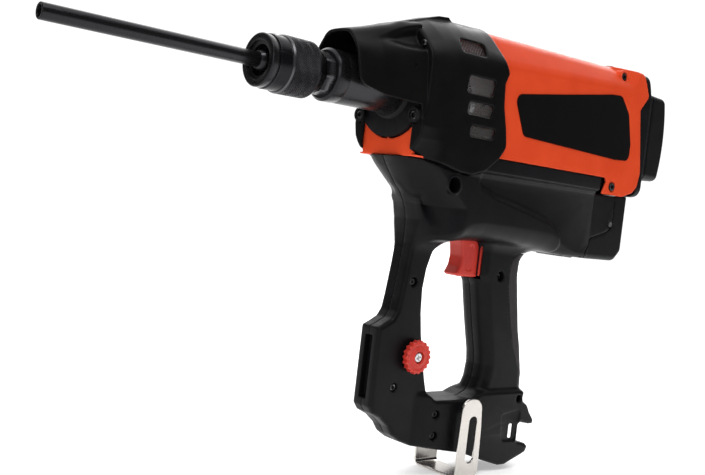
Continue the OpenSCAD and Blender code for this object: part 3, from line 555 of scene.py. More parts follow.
def common_cuts(g, f):
    """What both halves leave free: the shells above, and the trigger's, battery's and magazine's room."""
    x, z = g.XZ
    ay = np.abs(g.Y)
    f = cut(f, g.flat(poly(HOOD, x, z) - GAP), 0.8)
    f = cut(f, g.flat(poly(MOTOR, x, z) - GAP), 0.8)
    f = cut(f, box_field(g, (300, -60, -56.3), (345, 60, -20)), 0.8)
    for lo, hi, r in (((352, -33, -58), (640, 33, -20), 0),  # open top under the motor shell
                      ((612, -60, -64), (640, 60, -20), 0),  # rear bezel
                      ((380, -9.4, -157.4), (441, 9.4, -120.6), 1),  # trigger
                      ((439.6, -12.4, -158), (456, 12.4, -120), 0),  # the trigger's plate and its switch
                      ((475, -17.5, -315.8), (550, 17.5, -299), 0),  # battery bay's mouth
                      ((475, -17.5, -320), (516.5, 17.5, -292), 0),  # battery bay
                      ((502.5, -40, -312), (506.5, 40, -298), 0.8)):  # slot through both cheeks
        f = cut(f, box_field(g, lo, hi, r))
    # sunk panel on each cheek, the magazine's groove, a dimple at the grip's heel, and the catch pin
    pocket = extrude(g.flat(poly(fillet([(488, -288), (516, -284), (513, -315), (492, -314)], 4), x, z)),
                     -(ay - 19.2), 0.5)
    f = cut(f, pocket)
    f = cut(f, box_field(g, (310, -4.5, -268.5), (327.5, 4.5, -213), 0.6))
    f = cut(f, np.maximum(around(g, (511, -273)) - 3.6, -(ay - 15)))
    return cut(f, around(g, CATCH) - CATCH_HOLE)


def lower_side(g, side):
    """One half of the lower housing."""
    outer = lower_outer(g)
    x, z = g.XZ
    f = np.maximum(outer, -(outer + WALL))
    # backing of the magazine's groove, and the battery bay's three walls
    extra = box_field(g, (321, -8, -274), (331, 8, -208))
    for lo, hi in (((471, -21, -323), (475, 21, -289)), ((471, -21, -292), (540, 21, -289)),
                   ((471, -21, -323), (540, 21, -320))):
        extra = np.minimum(extra, box_field(g, lo, hi))
    extra = np.minimum(extra, cyl_y(g, *KNOB, 8, -20, 20))
    for a, b, deep, r in CLAM:
        y0, y1 = (-50, -deep + 3) if side < 0 else (-1, 50)
        extra = np.minimum(extra, cyl_y(g, a, b, r + 1.8 if side < 0 else 4.6, y0, y1))
    f = np.minimum(f, np.maximum(extra, outer))
    # a raised rim round the big screw well
    if side < 0:
        f = smin(f, cyl_y(g, *CLAM[0][:2], 8.6, -39.0, -33), 0.8)
    f = common_cuts(g, f)
    # inner lip behind the hood's lower edge
    lip = np.maximum(np.maximum(outer + 1.5, -(outer + 2.9)), box_field(g, (322, -42, -68), (416, 42, -42)))
    f = np.minimum(f, np.maximum(lip, g.flat(-3.5 - poly(HOOD, x, z))))
    f = cut(f, g.flat(poly(DOOR, x, z) - GAP), 0.8)
    f = cut(f, g.flat(poly(RUBBER, x, z) - 0.05), 0.6)
    f = np.maximum(f, -box_field(g, (559, -12, -135), (575, 12, -124)))
    for a, b, deep, r in CLAM:
        if side < 0:
            f = cut(f, cyl_y(g, a, b, r, -60, -deep), 0.8)
        f = cut(f, cyl_y(g, a, b, SCREW_HOLE, -60, 60))
    f = cut(f, cyl_y(g, *KNOB, 4.05, -60 if side < 0 else -1, 11))
    ay = np.abs(g.Y)
    knuckle = np.maximum(around(g, HINGE) - KNUCKLE, np.maximum(12 - ay, ay - 22))
    f = np.minimum(f, knuckle)
    f = np.maximum(f, -(around(g, HINGE) - HINGE_HOLE))
    return np.maximum(f, 0.05 - g.Y * side)


for side, word in ((-1, "left"), (1, "right")):
    ys = (-43, 1.5) if side < 0 else (-1.5, 43)
    g = Grid((310, ys[0], -342), (640, ys[1], -43), 0.9, 1.6)
    shell("shell_lower_" + word, lower_side(g, side), g, 0.3,
          "housing", "lower_housing_" + word, "black_plastic")

g = Grid((558, -40, -134), (640, 40, -60), 0.8, 1.2)
outer = lower_outer(g)
x, z = g.XZ
f = np.maximum(outer, -(outer + WALL))
f = np.maximum(f, g.flat(poly(DOOR, x, z)))
f = cut(f, g.flat(poly(MOTOR, x, z) - GAP), 0.8)
f = np.maximum(f, g.flat(z + 61.4 + 0 * x))
f = cut(f, around(g, CATCH) - CATCH_HOLE)
# a finger groove across the door's back, and the knuckle that its hinge pin goes through
f = cut(f, np.maximum(np.abs(g.Z + 76) - 2.2, np.maximum(633.4 - g.X, np.abs(g.Y) - 17)), 1.2)
tab = np.minimum(np.maximum(around(g, HINGE) - KNUCKLE, np.abs(g.Y) - 11.6),
                 box_field(g, (563.5, -11.6, -129.4), (571, 11.6, -127)))
f = np.minimum(f, tab)
f = np.maximum(f, -(around(g, HINGE) - HINGE_HOLE))
shell("shell_fuel_door", f, g, 0.35, "fuel_door", "fuel_door", "black_plastic")

g = Grid((474, -19, -262), (536, 19, -122), 0.6, 0.9)
outer = lower_outer(g)
x, z = g.XZ
f = np.maximum(outer, -(outer + WALL))
f = smax(f, g.flat(poly(RUBBER, x, z) + 0.25), 0.8)
f = np.maximum(f, g.flat(np.maximum(-262 - z, z + 130.9) + 0 * x))
shell("soft_grip_insert", f, g, 0.35, "housing", "grip_rubber", "grip_rubber")


# -------- upper shells
def crowned(g, top, sh, w, k1, k2, flat=17.0):
    """A section with a flat top, sloping shoulders and upright sides. top, sh and w vary with X."""
    ay = np.abs(g.Y)
    t, s, ww = (v[:, None, None] if isinstance(v, np.ndarray) else F32(v) for v in (top, sh, w))
    a, b = t - s, ww - flat
    slope = incline(ay - flat, g.Z - t, a, b)
    crown = g.Z - t + ay * ay * 0.0022
    return smax(smax(crown, slope, k1), ay - ww, k2)


def motor_section(g):
    top = interp(g.x, [320, 360, 420, 600, 640], [52, 66.6, 68.2, 71.3, 71.3])
    sh = interp(g.x, [320, 360, 420, 612, 640], [28, 33, 37, 47.5, 48.5])
    w = interp(g.x, [320, 360, 640], [37.4, 40.2, 40.5])
    return crowned(g, top, sh, w, 9, 6)


g = Grid((314, -43, -66), (642, 43, 75), 1.0, 1.6)
x, z = g.XZ
ay = np.abs(g.Y)
sec = motor_section(g)
# the side panel sinks a little under the shoulder's crease behind the hood
crease = interp(g.x, [400, 420, 612], [34, 37, 47.5])[:, None, None]
dip = 1.2 * (smooth(-16, -3, g.Z - crease) * (1 - smooth(-3, 1, g.Z - crease)))
dip = dip * (smooth(405, 430, g.x) * (1 - smooth(575, 610, g.x)))[:, None, None]
sec = sec + dip * (ay > 30)
# square rear frame behind the sloping shoulders, with a slanting face towards the front
level = np.ones(len(g.x), F32)
frame_sec = crowned(g, F32(71.2) * level, F32(47) * level, F32(40.5), 5, 5, 33.4)
slant = -0.403 * (g.X - 600) + 0.745 * (ay - 17.5) + 0.532 * (g.Z - 70)
slant = np.maximum(slant, 600 - g.X)
sec = smin(sec, smax(frame_sec, slant, 1.2), 0.8)
f = np.maximum(sec, -(sec + WALL))
f = smax(f, g.flat(poly(MOTOR, x, z)), 1.0)
panel = box_field(g, (316.5, -35, -55.9), (320.6, 35, -28), 0.3)
panel = np.maximum(panel, ay - interp(g.z, [-56, -44], [31, 35]))
panel = smax(panel, 41.9 - np.hypot(g.Y, g.Z + 0 * g.X), 0.6)
panel = np.minimum(panel, box_field(g, (316.5, -0.9, -43), (318.6, 0.9, -40), 0.2))
f = np.minimum(f, panel)
for s in (-1, 1):
    f = np.minimum(f, box_field(g, (320, s * 33.8 - 2.7, -45.9), (330, s * 33.8 + 2.7, -39)))
    f = smin(f, np.maximum(cyl_x(g, s * 33.5, -54, 5.5, 592, 625), sec), 1)
    # tail of the front panel along the hood's lower edge
    f = np.minimum(f, box_field(g, (316.5, s * 32.5 - 3, -56), (334, s * 32.5 + 3, -54.6), 0.3))
# seats of the four boss screws: the upper ones stand in a ring, the lower ones are sunk
up = around(g, UPPER_BOSS) + 0 * ay
f = smin(f, smax(smax(up - 6.7, ay - 31, 0.9), 18 - ay, 0.5), 1.5)
f = cut(f, np.maximum(up - 4.6, 28 - ay), 0.9)
f = np.maximum(f, -np.maximum(up - SCREW_HOLE, 16 - ay))
low = around(g, LOWER_BOSS)
f = cut(f, np.maximum(low - 5.4, 38.5 - ay), 1.0)
f = np.maximum(f, -np.maximum(low - SCREW_HOLE, 28 - ay))
f = cut(f, np.maximum(g.flat(poly(LABEL, x, z) - 0.5), 40.05 - ay), 0.5)
# the shell is cut away behind the hood's windows, most of all behind the top one
for k, outline in enumerate(WINDOWS):
    wider, half_gap = (7, 13) if k == 0 else (4, 24)
    f = cut(f, np.maximum(g.flat(poly(outline, x, z) - wider), half_gap - ay), 0.8)
f = np.maximum(f, -np.maximum(np.hypot(g.X - 618, g.Y) - 2.5, 55 - g.Z))
shell("shell_motor", f, g, 0.35, "housing", "motor_housing", "orange_plastic")

g = Grid((615, -43, -66), (653, 43, 75), 0.8, 1.4)
x, z = g.XZ
level = np.ones(len(g.x), F32)
sec = crowned(g, F32(70.4) * level, F32(50) * level, F32(40.4), 8, 6, 33.0)
sec = smax(sec, -61 - g.Z, 12)
sec = sec + np.maximum(g.X - 642, 0) * 0.72
f = smax(sec, g.X - 650, 2.0)
f = np.maximum(f, -g.flat(poly(MOTOR, x, z) - GAP))
inside = smax(sec + 3, g.X - 646, 1)
f = np.maximum(f, -inside)
f = np.maximum(f, 622 - g.X)
f = np.maximum(f, -box_field(g, (600, -60, -90), (635, 60, -46)))
f = np.maximum(f, -cyl_x(g, 0, 0, 24, 640, 660))
shell("shell_bezel", f, g, 0.4, "housing", "rear_bezel", "black_plastic")

g = Grid((648, -37, -45), (694, 37, 54), 0.8, 1.2)
ay = np.abs(g.Y)
rect = np.hypot(np.maximum(ay - 26, 0), np.maximum(np.abs(g.Z - 4.5) - 38.5, 0)) - 7.5
taper = np.maximum(g.X - 656, 0) * 0.05
back = 690.6 - 6.5 * ((g.Z - 2) / 46) ** 2 - 2.0 * (ay / 34) ** 2
f = extrude(rect + taper, g.X - back, 5)
f = np.maximum(f, 650.3 - g.X)
f = cut(f, np.maximum(np.abs(g.X - 655.4) - 0.5, -(rect + 0.7)), 0.4)
f = np.maximum(f, -np.maximum(np.maximum(rect + 4, g.X - 676), 640 - g.X))
shell("shell_rear_cap", f, g, 0.35, "housing", "rear_cap", "black_plastic")


# -------- front hood
def hood_outer(g):
    """The vented part of the hood, solid."""
    x, z = g.XZ
    ay = np.abs(g.Y)
    top = interp(g.x, [313, 322, 335, 350, 365, 420], [57.5, 61, 66, 69.4, 70.5, 70.5])
    sh = interp(g.x, [313, 350, 420], [30, 34, 38])
    front = interp(z, [-56, -53, -50, -46, -40.5, -30, 0], [30, 32, 34.5, 38, 41.5, 43.8, 44])
    w = front + (44 - front) * smooth(314, 346, x)
    k = interp(g.x, [313, 350, 395, 415], [12, 20, 14, 8])[:, None, None]
    t, s = top[:, None, None], sh[:, None, None]
    a, b = t - s, F32(44 - 17)
    slope = incline(ay - 17, g.Z - t, a, b)
    bulge = smax(smax(g.Z - t + ay * ay * 0.003, slope, k), g.beyond(w), k * 0.6)
    nose = interp(z, [-22, -13], [313.4, 317.1]) + 0 * x - x
    return smax(bulge, g.flat(nose), 3.2)


def canopy_outer(g):
    """The roof over the neck, with a valley sunk into each shoulder."""
    ay = np.abs(g.Y)
    top = interp(g.x, [248, 258, 268, 284, 300, 320, 330], [39.2, 42, 44.6, 49.4, 53.8, 59.2, 61.5])
    ys = interp(g.x, [248, 322], [26.5, 38.8])
    zs = interp(g.x, [248, 275, 303, 326], [24.5, 22, 27.5, 32])
    yb = interp(g.x, [248, 322], [35, 42.2])
    flat = interp(g.x, [248, 284, 320], [14, 16, 20.5])
    t, y1, z1, y2, y0 = (v[:, None, None] for v in (top, ys, zs, yb, flat))
    a, b = t - z1, y1 - y0
    roof = incline(ay - y0, g.Z - t, a, b)
    # across runs 0 at the crest to 1 at the side ridge
    across = ((ay - y0) * b - (g.Z - t) * a) / (a * a + b * b)
    grow = smooth(262, 314, g.X)
    lo, hi = 0.40 - 0.30 * grow, 0.62 + 0.34 * grow
    valley = smooth(lo, lo + 0.24, across) * (1 - smooth(hi - 0.42, hi, across))
    roof = roof + 6.8 * grow * valley
    hump = 1.6 * np.exp(-((g.X - 303) / 9) ** 2 - ((ay - 14) / 5) ** 2)
    c, d = y2 - y1, z1 + 8
    side = incline(ay - y1, g.Z - z1, d, c)
    lid = g.Z - t + ay * ay * 0.004 - hump
    f = smax(smax(lid, roof, 4), side, 3.0)
    return np.maximum(f, np.maximum(g.X - 326, -24 - g.Z))


g = Grid((246, -46, -67), (424, 46, 76), 0.8, 1.3)
x, z = g.XZ
ay = np.abs(g.Y)
bulge, canopy = hood_outer(g), canopy_outer(g)
outer = smin(np.maximum(canopy, g.X - 321), bulge, 1.2)
# ridge along the top
rib_top = interp(g.x, [284, 300, 352, 364, 367], [48, 54.4, 70.6, 71.9, 69])[:, None, None]
rib = smax(ay - 9.5, g.Z - rib_top, 1.2)
rib = np.maximum(np.maximum(rib, 35 - g.Z), np.maximum(286 - g.X, g.X - 367))
outer = smin(outer, rib, 2.0)
cavity = np.minimum(bulge + WALL, np.maximum(canopy + WALL, g.X - 322))
f = smax(outer, -cavity, 0.8)
f = smax(f, g.flat(poly(HOOD, x, z)), 1.1)
for outline in WINDOWS:
    f = cut(f, np.maximum(g.flat(poly(outline, x, z)), 24 - ay), 1.6)
# room for the nose plate, its bolts, and the front panel below it
plate = np.maximum(cyl_x(g, 0, 0, 41.3, 305, 330), np.minimum(ay - 36.8, g.Z + 13.6))
f = cut(f, plate, 0.6)
for bolt_y, bolt_z in NOSE_BOLTS:
    r, x0 = (6.7, 306) if bolt_z < 0 else (4.6, 309)
    seat = np.hypot(ay - bolt_y, g.Z - bolt_z) - r
    f = cut(f, np.maximum(seat, np.maximum(x0 - g.X, g.X - 330)), 0.6)
f = cut(f, box_field(g, (300, -30.9, -62), (346, 30.9, -20)), 0.8)
shell("shell_hood", f, g, 0.45, "housing", "front_hood", "hood_black", "black_plastic")


# -------- turned parts
def lathe(name, profile, body, node, seg=96):
    """Turns a closed ring of (X, radius) points about the barrel's axis, as a blued steel piece."""
    n = len(profile)
    verts, faces = [], []
    for k in range(seg):
        a = 2 * math.pi * k / seg
        for px, pr in profile:
            verts.append((px, pr * math.cos(a), pr * math.sin(a)))
    for k in range(seg):
        for i in range(n):
            a, b = k * n + i, k * n + (i + 1) % n
            c, d = ((k + 1) % seg) * n + (i + 1) % n, ((k + 1) % seg) * n + i
            faces.append((a, d, c, b))
    shade(new_mesh(name, verts, faces), 35)
    piece(name, body, node, "blued_steel")


def soften(profile, r=0.3):
    """A turned profile with its corners eased."""
    return fillet(profile, r, 2)


lathe("tube_barrel", soften([(0, 4.4), (0, 5.5), (0.5, 6), (205, 6), (205, 4), (124, 4), (120, 4.4)], 0.25),
      "nose", "barrel_tube")
lathe("sleeve_barrel", soften([(173, 6.06), (173, 6.6), (177.5, 9), (205, 9), (205, 6.06)]),
      "nose", "barrel_sleeve")
lathe("ring_flange", soften([(238, 14.05), (238, 19.8), (240, 21.8), (250.5, 21.8), (250.5, 14.05)], 0.5),
      "nose", "flange_ring")
lathe("tube_neck", soften([(238, 5), (238, 13.95), (250.55, 13.95), (250.55, 21.5), (328, 21.5), (328, 17),
                           (260, 17), (260, 5)], 0.25), "nose", "neck_tube")

# face ring with two spanner holes
lathe("ring_face", soften([(176, 12.5), (176, 15.6), (173.5, 15.6), (173.5, 20.2), (174.3, 21), (179, 21),
                           (179, 12.5)], 0.25), "collar", "front_ring", 144)
o = bpy.data.objects["ring_face"]
for s in (-1, 1):
    bpy.ops.mesh.primitive_cylinder_add(vertices=24, radius=0.0009, depth=0.006,
                                        location=(0.1735, 0, s * 0.0178), rotation=(0, math.pi / 2, 0))
    c = bpy.context.object
    m = o.modifiers.new("hole", "BOOLEAN")
    m.object, m.operation, m.solver = c, "DIFFERENCE", "EXACT"
    apply_modifiers(o)
    bpy.data.objects.remove(c)
shade(o, 35)


def knurled(name, x0, x1, r0, r1, depth, teeth=84, pitch=2.1):
    """Diamond knurling between two grooves, on a slightly barrelled collar."""
    seg, n = teeth * 6, int((x1 - x0) / 0.36)
    head = soften([(180.6, 15.05), (179.1, 15.05), (179.1, 20.3), (180.6, 20.3), (180.9, 21.6), (191.4, 21.6),
                   (193.0, r0 - 0.15)], 0.3)[2:]
    tail = soften([(x1 + 0.4, r1), (x1 + 1.0, r1 - 0.1), (227.8, 17.7), (228, 17.2), (228, 15.05),
                   (220, 15.05)], 0.3)
    prof = [(p, q, 0) for p, q in head]
    prof += [(x0 + (x1 - x0) * i / n, r0 + (r1 - r0) * i / n, 1) for i in range(n + 1)]
    prof += [(p, q, 0) for p, q in tail]
    px, pr, on = (np.array(v) for v in zip(*prof))
    th = 2 * np.pi * np.arange(seg) / seg
    u = teeth * th[:, None] / (2 * np.pi)
    v = (px[None, :] - x0) / pitch
    h = np.minimum(*(np.abs((t % 1) - 0.5) * 2 for t in (u + v, u - v)))
    fade = np.clip(np.minimum(px - x0, x1 - px) / 0.8, 0, 1) * on
    rr = pr[None, :] - depth * (1 - np.clip(h * 1.5, 0, 1)) * fade[None, :]
    along = np.broadcast_to(px[None, :], rr.shape)
    verts = np.stack([along, rr * np.cos(th)[:, None], rr * np.sin(th)[:, None]], -1)
    k, m = np.meshgrid(np.arange(seg), np.arange(len(px)), indexing="ij")
    k2, m2 = (k + 1) % seg, (m + 1) % len(px)
    w = len(px)
    quads = np.stack([k * w + m, k2 * w + m, k2 * w + m2, k * w + m2], -1).reshape(-1, 4)
    shade(new_mesh(name, verts.reshape(-1, 3), quads), 30)


knurled("collar_knurled", 193.6, 218.4, 23.2, 22.9, 0.55)
piece("collar_knurled", "collar", "knurled_collar", "blued_steel")


# -------- small parts from fields
def clamp_knob():
    """The scalloped knob, its hub with a sunk screw seat, and its shaft."""
    g = Grid((347, -23, -248), (383, 11, -212), 0.4, 0.6)
    dx, dz = g.X - KNOB[0], g.Z - KNOB[1]
    r, th = np.hypot(dx, dz), np.arctan2(dz, dx)
    lobes = 14.5 + 0.75 * np.cos(18 * th)
    lobes = lobes - 0.5 * smooth(1.2, 0, np.minimum(g.Y + 21.5, -15 - g.Y))
    disc = smax(smax(r - lobes, g.Y + 15, 0.8), -21.5 - g.Y, 0.9)
    hub = np.maximum(r - 7.2, np.maximum(-22.3 - g.Y, g.Y + 19))
    disc = cut(disc, np.maximum(np.maximum(9.2 - r, r - 11.6), g.Y + 20.7), 0.5)
    f = smin(disc, hub, 0.8)
    shaft = np.maximum(r - 4, np.maximum(-16 - g.Y, g.Y - 2))
    f = smin(f, shaft, 0.4)
    f = cut(f, np.maximum(r - 5.6, g.Y + 19), 0.5)
    return np.maximum(f, -(r - 2.5)), g


f, g = clamp_knob()
shell("knob_body", f, g, 0.5, "clamp_knob", "clamp_knob", "red_plastic")

g = Grid((409, -13, -160), (446, 13, -118), 0.5, 0.7)
x, z = g.XZ
front = fillet([(413.5, -121.4, 2), (417, -128, 8), (418.6, -138, 12), (417.3, -147, 8), (412.6, -155.2, 2.2),
                (416, -156.9, 2), (441, -156.9), (441, -121.4)], 1)
f = extrude(g.flat(poly(front, x, z)), np.abs(g.Y) - 9, 2.2)
f = np.minimum(f, box_field(g, (440, -11.6, -155), (443.5, 11.6, -123), 0.4))
f = cut(f, np.maximum(np.hypot(g.Y, g.Z + 139) - 3, 437 - g.X), 0.3)
# shallow side pockets left by the mould
f = cut(f, np.maximum(g.flat(poly(fillet([(425, -127), (433, -127), (433, -151), (424, -151)], 3), x, z)),
                      8.5 - np.abs(g.Y)), 0.5)
shell("lever_trigger", f, g, 0.5, "trigger", "trigger", "red_plastic")

g = Grid((418, -33, -345), (457, 28, -265), 0.5, 0.8)
x, z = g.XZ
leg = fillet([(421, -268, 11), (446, -268, 11), (449, -296, 30), (450.5, -330, 10), (450.5, -350),
              (421.5, -350), (420.5, -310, 20)], 3)
slot = fillet([(431.6, -284.6), (442.4, -284.6), (442.8, -328.4), (431.6, -328.4)], 5.3)
outline = smax(poly(leg, x, z), -poly(slot, x, z), 0.3)
# a strip bent round a rounded square: half its thickness, the bend, and the square's middle and half sizes
thick, bend = 1.1, 4.5
cy, cz = F32((-30.2 + 25.2) / 2), F32(-343 + 60)
qy, qz = np.abs(g.Y - cy) - (27.7 - thick - bend), np.abs(g.Z - cz) - (60 - thick - bend)
path = np.hypot(np.maximum(qy, 0), np.maximum(qz, 0)) + np.minimum(np.maximum(qy, qz), 0) - bend
f = smax(np.abs(path) - thick, g.flat(outline), 0.5)
f = np.maximum(f, g.Z + np.where(g.Y > 0, 273, 267.6).astype(F32) + 0 * g.X)
shell("hook_strip", f, g, 0.45, "belt_hook", "belt_hook", "stainless")


def screw_field(r_head, h_head, r_shank, length, kind="hex", size=2.0, depth=1.8):
    """A screw along +Z: the head's underside at the origin, its shank below."""
    g = Grid((-r_head - 1, -r_head - 1, -length - 1), (r_head + 1, r_head + 1, h_head + 1), 0.3)
    r = np.hypot(g.X, g.Y) + 0 * g.Z
    head = smax(smax(r - r_head, g.Z - h_head, 0.9), -g.Z, 0.3)
    shank = np.maximum(r - r_shank, np.maximum(g.Z - 0.3, -length - g.Z))
    f = np.minimum(head, shank)
    if kind == "hex":
        q = np.maximum(np.abs(g.X), np.abs(g.X * 0.5 + g.Y * 0.866))
        q = np.maximum(q, np.abs(g.X * 0.5 - g.Y * 0.866))
        f = cut(f, np.maximum(q - size * 0.866, h_head - depth - g.Z), 0.2)
    else:
        ax, ay = np.abs(g.X), np.abs(g.Y)
        cross = np.minimum(np.maximum(ax - 0.62, ay - size), np.maximum(ay - 0.62, ax - size))
        f = cut(f, np.maximum(cross + (h_head - g.Z) * 0.35, h_head - depth - g.Z), 0.25)
    return f, g


def screws(name, places, body, node, look, slot, **kw):
    """Copies of one screw. Each place is a matrix in millimetres."""
    f, g = screw_field(**kw)
    v, q = surface(f, g)
    v, q = drop_islands(v, q)
    allv, allq = [], []
    for m in places:
        w = np.array([list(m @ Vector(p)) for p in v])
        allq.append(q + sum(len(a) for a in allv))
        allv.append(w)
    thin(new_mesh(name, np.concatenate(allv), np.concatenate(allq)), 0.4, 40)
    piece(name, body, node, look, slot)


def at(x, y, z, axis, spin=0.0):
    """A place whose +Z points along axis."""
    rot = Vector(axis).to_track_quat("Z", "Y").to_matrix().to_4x4()
    return Matrix.Translation((x, y, z)) @ rot @ Matrix.Rotation(math.radians(spin), 4, "Z")


screws("boss_screws", [at(UPPER_BOSS[0], s * 28, UPPER_BOSS[1], (0, s, 0), 12) for s in (-1, 1)]
       + [at(LOWER_BOSS[0], s * 38.5, LOWER_BOSS[1], (0, s, 0), 20) for s in (-1, 1)],
       "housing", "housing_screws", "screw_steel", "zinc_screw",
       r_head=4, h_head=2.4, r_shank=1.6, length=8, size=2.3, depth=1.9)
screws("scoop_screws", [at(317.1, s * 31.5, 39, (-1, 0, 0), 10) for s in (-1, 1)],
       "housing", "hood_screws", "screw_steel", "zinc_screw",
       r_head=2.8, h_head=2.1, r_shank=1.5, length=2.4, size=1.6, depth=1.5)
screws("side_screws", [at(x, -deep, z, (0, -1, 0), 15 * i) for i, (x, z, deep, well) in enumerate(CLAM)],
       "housing", "clamshell_screws", "screw_steel", "screw_steel",
       r_head=3.2, h_head=2.2, r_shank=1.55, length=10, size=1.7, depth=1.5)
screws("nose_bolts", [at(313, s * y, z, (-1, 0, 0), 9 * s) for s in (-1, 1) for y, z in NOSE_BOLTS],
       "housing", "nose_screws", "screw_steel", "screw_steel",
       r_head=4.2, h_head=2.5, r_shank=2.45, length=5.5, size=2.5, depth=2.0)
screws("knob_centre", [at(KNOB[0], -19, KNOB[1], (0, -1, 0), 20)],
       "clamp_knob", "knob_screw", "zinc_screw", "zinc_screw",
       r_head=4.4, h_head=1.9, r_shank=2.45, length=28, kind="cross", size=2.6, depth=1.5)


# -------- springs
def tube_faces(rings, sides, base=0):
    """Quads between rings of points, and a cap at each end."""
    faces = []
    for i in range(rings - 1):
        for k in range(sides):
            p, q = base + i * sides + k, base + i * sides + (k + 1) % sides
            faces.append((p, q, q + sides, p + sides))
    faces.append(tuple(base + k for k in reversed(range(sides))))
    faces.append(tuple(base + (rings - 1) * sides + k for k in range(sides)))
    return faces


def coil(name, x0, x1, z, r, wire, turns, body):
    """A compression spring along X, built at one fixed length. x0 is its moving end."""
    sides, steps = 8, 24
    n = turns * steps
    verts = []
    for i in range(n + 1):
        a = 2 * math.pi * i / steps
        t = i / n
        for k in range(sides):
            w = 2 * math.pi * k / sides
            rr = r + wire * math.cos(w)
            verts.append((x0 + (x1 - x0) * t + wire * math.sin(w), rr * math.cos(a), z + rr * math.sin(a)))
    o = new_mesh("coil_" + name, verts, tube_faces(n + 1, sides))
    shade(o)
    piece("coil_" + name, body, name, "spring_steel")
    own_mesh(o)


coil("return_spring", 333.6, 374, 0, 19.2, 1.35, 7, "nose")
coil("trigger_spring", 437.6, 450.8, -139, 2.2, 0.38, 5, "trigger")


# -------- woven vent screens
def woven(name, side, node):
    """Plain-woven wire behind each window, on the hood's inner face."""
    verts, faces = [], []
    pitch, wire, sides = 2.3, 0.27, 5

    def half_width(z):
        return 41.0 if z < 33 else 41.0 - (z - 33) * 0.7

    def tube(points):
        base = len(verts)
        pts = [Vector(p) for p in points]
        for i, p in enumerate(pts):
            d = (pts[min(i + 1, len(pts) - 1)] - pts[max(i - 1, 0)]).normalized()
            a = d.orthogonal().normalized()
            b = d.cross(a)
            for k in range(sides):
                w = 2 * math.pi * k / sides
                verts.append(p + wire * (math.cos(w) * a + math.sin(w) * b))
        faces.extend(tube_faces(len(pts), sides, base))

    for x0, z0, x1, z1 in WINDOW_BOXES:
        x0, x1, z0, z1 = x0 - 2, x1 + 2, z0 - 2, z1 + 2
        cx, cz = (x0 + x1) / 2, (z0 + z1) / 2
        w0, h0 = (x1 - x0) / 2, (z1 - z0) / 2
        n = int((w0 + h0) / (pitch * 0.7071)) + 1
        for fam in (0, 1):
            u = (0.7071, 0.7071 if fam else -0.7071)
            v = (-u[1], u[0])
            for i in range(-n, n + 1):
                line = []
                for j in range(-4 * n, 4 * n + 1):
                    s = j * pitch / 2
                    px, pz = u[0] * s + v[0] * i * pitch, u[1] * s + v[1] * i * pitch
                    if abs(px) > w0 or abs(pz) > h0:
                        continue
                    wave = 0.25 * math.cos(math.pi * (j / 2 + i + fam))
                    line.append((cx + px, side * (half_width(cz + pz) - 0.55 + wave), cz + pz))
                if len(line) > 2:
                    tube(line)
    o = new_mesh(name, verts, faces)
    shade(o)
    piece(name, "housing", node, "mesh_steel")


woven("woven_left", -1, "vent_mesh_left")
woven("woven_right", 1, "vent_mesh_right")

# -------- CAD nodes that stay
EASED = ("nose_plate", "neck_sleeve", "collar_set_pin", "cylinder", "cylinder_head", "trigger_switch",
         "battery_contacts", "control_board", "fuel_valve", "ignition_coil", "top_stud", "label_panels",
         "door_catch_pin", "hook_screws", "piston", "link_yoke", "fan_motor")
for name, obj in nodes.items():
    slot = next(p["material_slot"] for p in frame["record"]["subparts"] if p["node"] == name)
    obj.data.materials.clear()
    obj.data.materials.append(MAT["screw_steel" if name == "door_catch_pin" else slot])
    if name in EASED:
        m = obj.modifiers.new("edge", "BEVEL")
        m.width = 0.0004 if name != "label_panels" else 0.0002
        m.segments = 2
        m.limit_method = "ANGLE"
        m.angle_limit = math.radians(35)

# -------- floor, light and camera
cam = bpy.data.cameras.new("camera")
cam.sensor_width = 36.0
cam.lens = 50.0
cam.clip_start, cam.clip_end = 0.01, 50
cam_obj = add("camera", cam)
right, down, forward = (0.75704, -0.64294, 0.11623), (0.06586, -0.1019, -0.99261), (0.65004, 0.7591, -0.0348)
rot = Matrix((right, tuple(-v for v in down), tuple(-v for v in forward))).transposed()
cam_obj.matrix_world = Matrix.Translation((-0.250227, -0.630666, -0.101032)) @ rot.to_4x4()
bpy.context.scene.camera = cam_obj
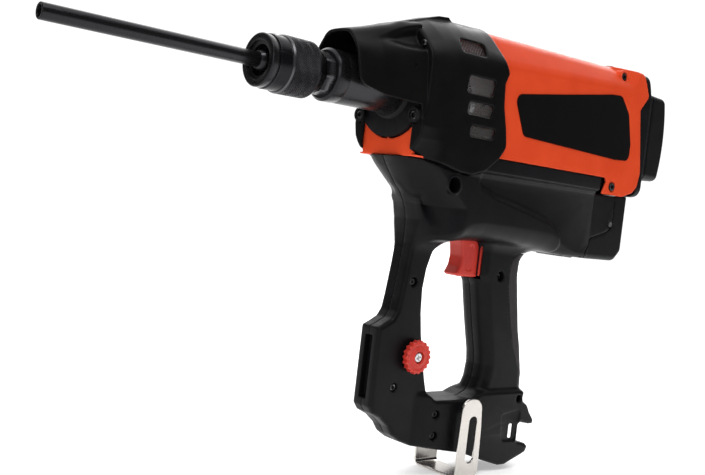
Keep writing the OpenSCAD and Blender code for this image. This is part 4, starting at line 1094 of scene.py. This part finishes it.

# the sky grows paler in this direction, away from the camera. The floor's colour darkens towards the camera,
# and the floor glows with painted light everywhere, more strongly away from the camera
AWAY = (0.62, 0.78, 0.0)
bpy.ops.mesh.primitive_plane_add(size=7.5, location=(1.0, 1.3, -0.3434))
floor = bpy.context.object
floor.name = "floor"
m, nt, b, tc = base_material("glowing_floor")
along = nd(nt, "ShaderNodeVectorMath", operation="DOT_PRODUCT")
along.inputs[1].default_value = AWAY
nt.links.new(tc.outputs["Object"], along.inputs[0])
far = nd(nt, "ShaderNodeMapRange")
far.inputs["From Min"].default_value, far.inputs["From Max"].default_value = -4.2, -2.4
nt.links.new(along.outputs["Value"], far.inputs["Value"])
tone = ramp(nt, far.outputs[0], [(0.0, (0.30, 0.30, 0.30)), (1.0, (0.93, 0.93, 0.93))])
nt.links.new(tone, b.inputs["Base Color"])
# painted light: the floor glows at 0.36 near the tool, rising to 1 far away, which whitens the backdrop and
# lightens the shadow under the tool
glow = nd(nt, "ShaderNodeMapRange")
glow.inputs["From Min"].default_value, glow.inputs["From Max"].default_value = -0.9, 1.4
glow.inputs["To Min"].default_value = 0.36
nt.links.new(along.outputs["Value"], glow.inputs["Value"])
nt.links.new(glow.outputs[0], b.inputs["Emission Strength"])
b.inputs["Emission Color"].default_value = (1, 1, 1, 1)
b.inputs["Roughness"].default_value = 0.95
b.inputs["Specular IOR Level"].default_value = 0.1
floor.data.materials.append(m)

world = bpy.data.worlds.new("studio")
world.use_nodes = True
wt = world.node_tree
direction = nd(wt, "ShaderNodeTexCoord")
dot = nd(wt, "ShaderNodeVectorMath", operation="DOT_PRODUCT")
dot.inputs[1].default_value = AWAY
wt.links.new(direction.outputs["Generated"], dot.inputs[0])
sky = ramp(wt, dot.outputs["Value"],
           [(0.0, (0.13, 0.13, 0.13)), (0.5, (0.16, 0.16, 0.16)), (0.84, (1.1, 1.1, 1.1))])
wt.links.new(sky, wt.nodes["Background"].inputs["Color"])
bpy.context.scene.world = world
bpy.context.scene.view_settings.view_transform = "Standard"


def area(name, loc, target, size, power):
    light = bpy.data.lights.new(name, "AREA")
    light.shape = "RECTANGLE"
    light.size, light.size_y = size
    light.energy = power
    o = add(name, light)
    o.location = loc
    o.rotation_euler = (Vector(target) - Vector(loc)).to_track_quat("-Z", "Y").to_euler()


area("ceiling", (1.3, 1.9, 3.2), (1.3, 1.9, -0.34), (7.0, 7.0), 225)
area("key_top", (-0.1, -0.7, 1.2), (0.4, 0, -0.05), (0.9, 0.6), 9)
area("fill_front", (-0.9, -0.9, 0.35), (0.4, 0, -0.1), (0.25, 0.9), 3)
area("rim_back", (1.5, 0.5, 0.6), (0.5, 0, 0), (0.5, 0.7), 5)
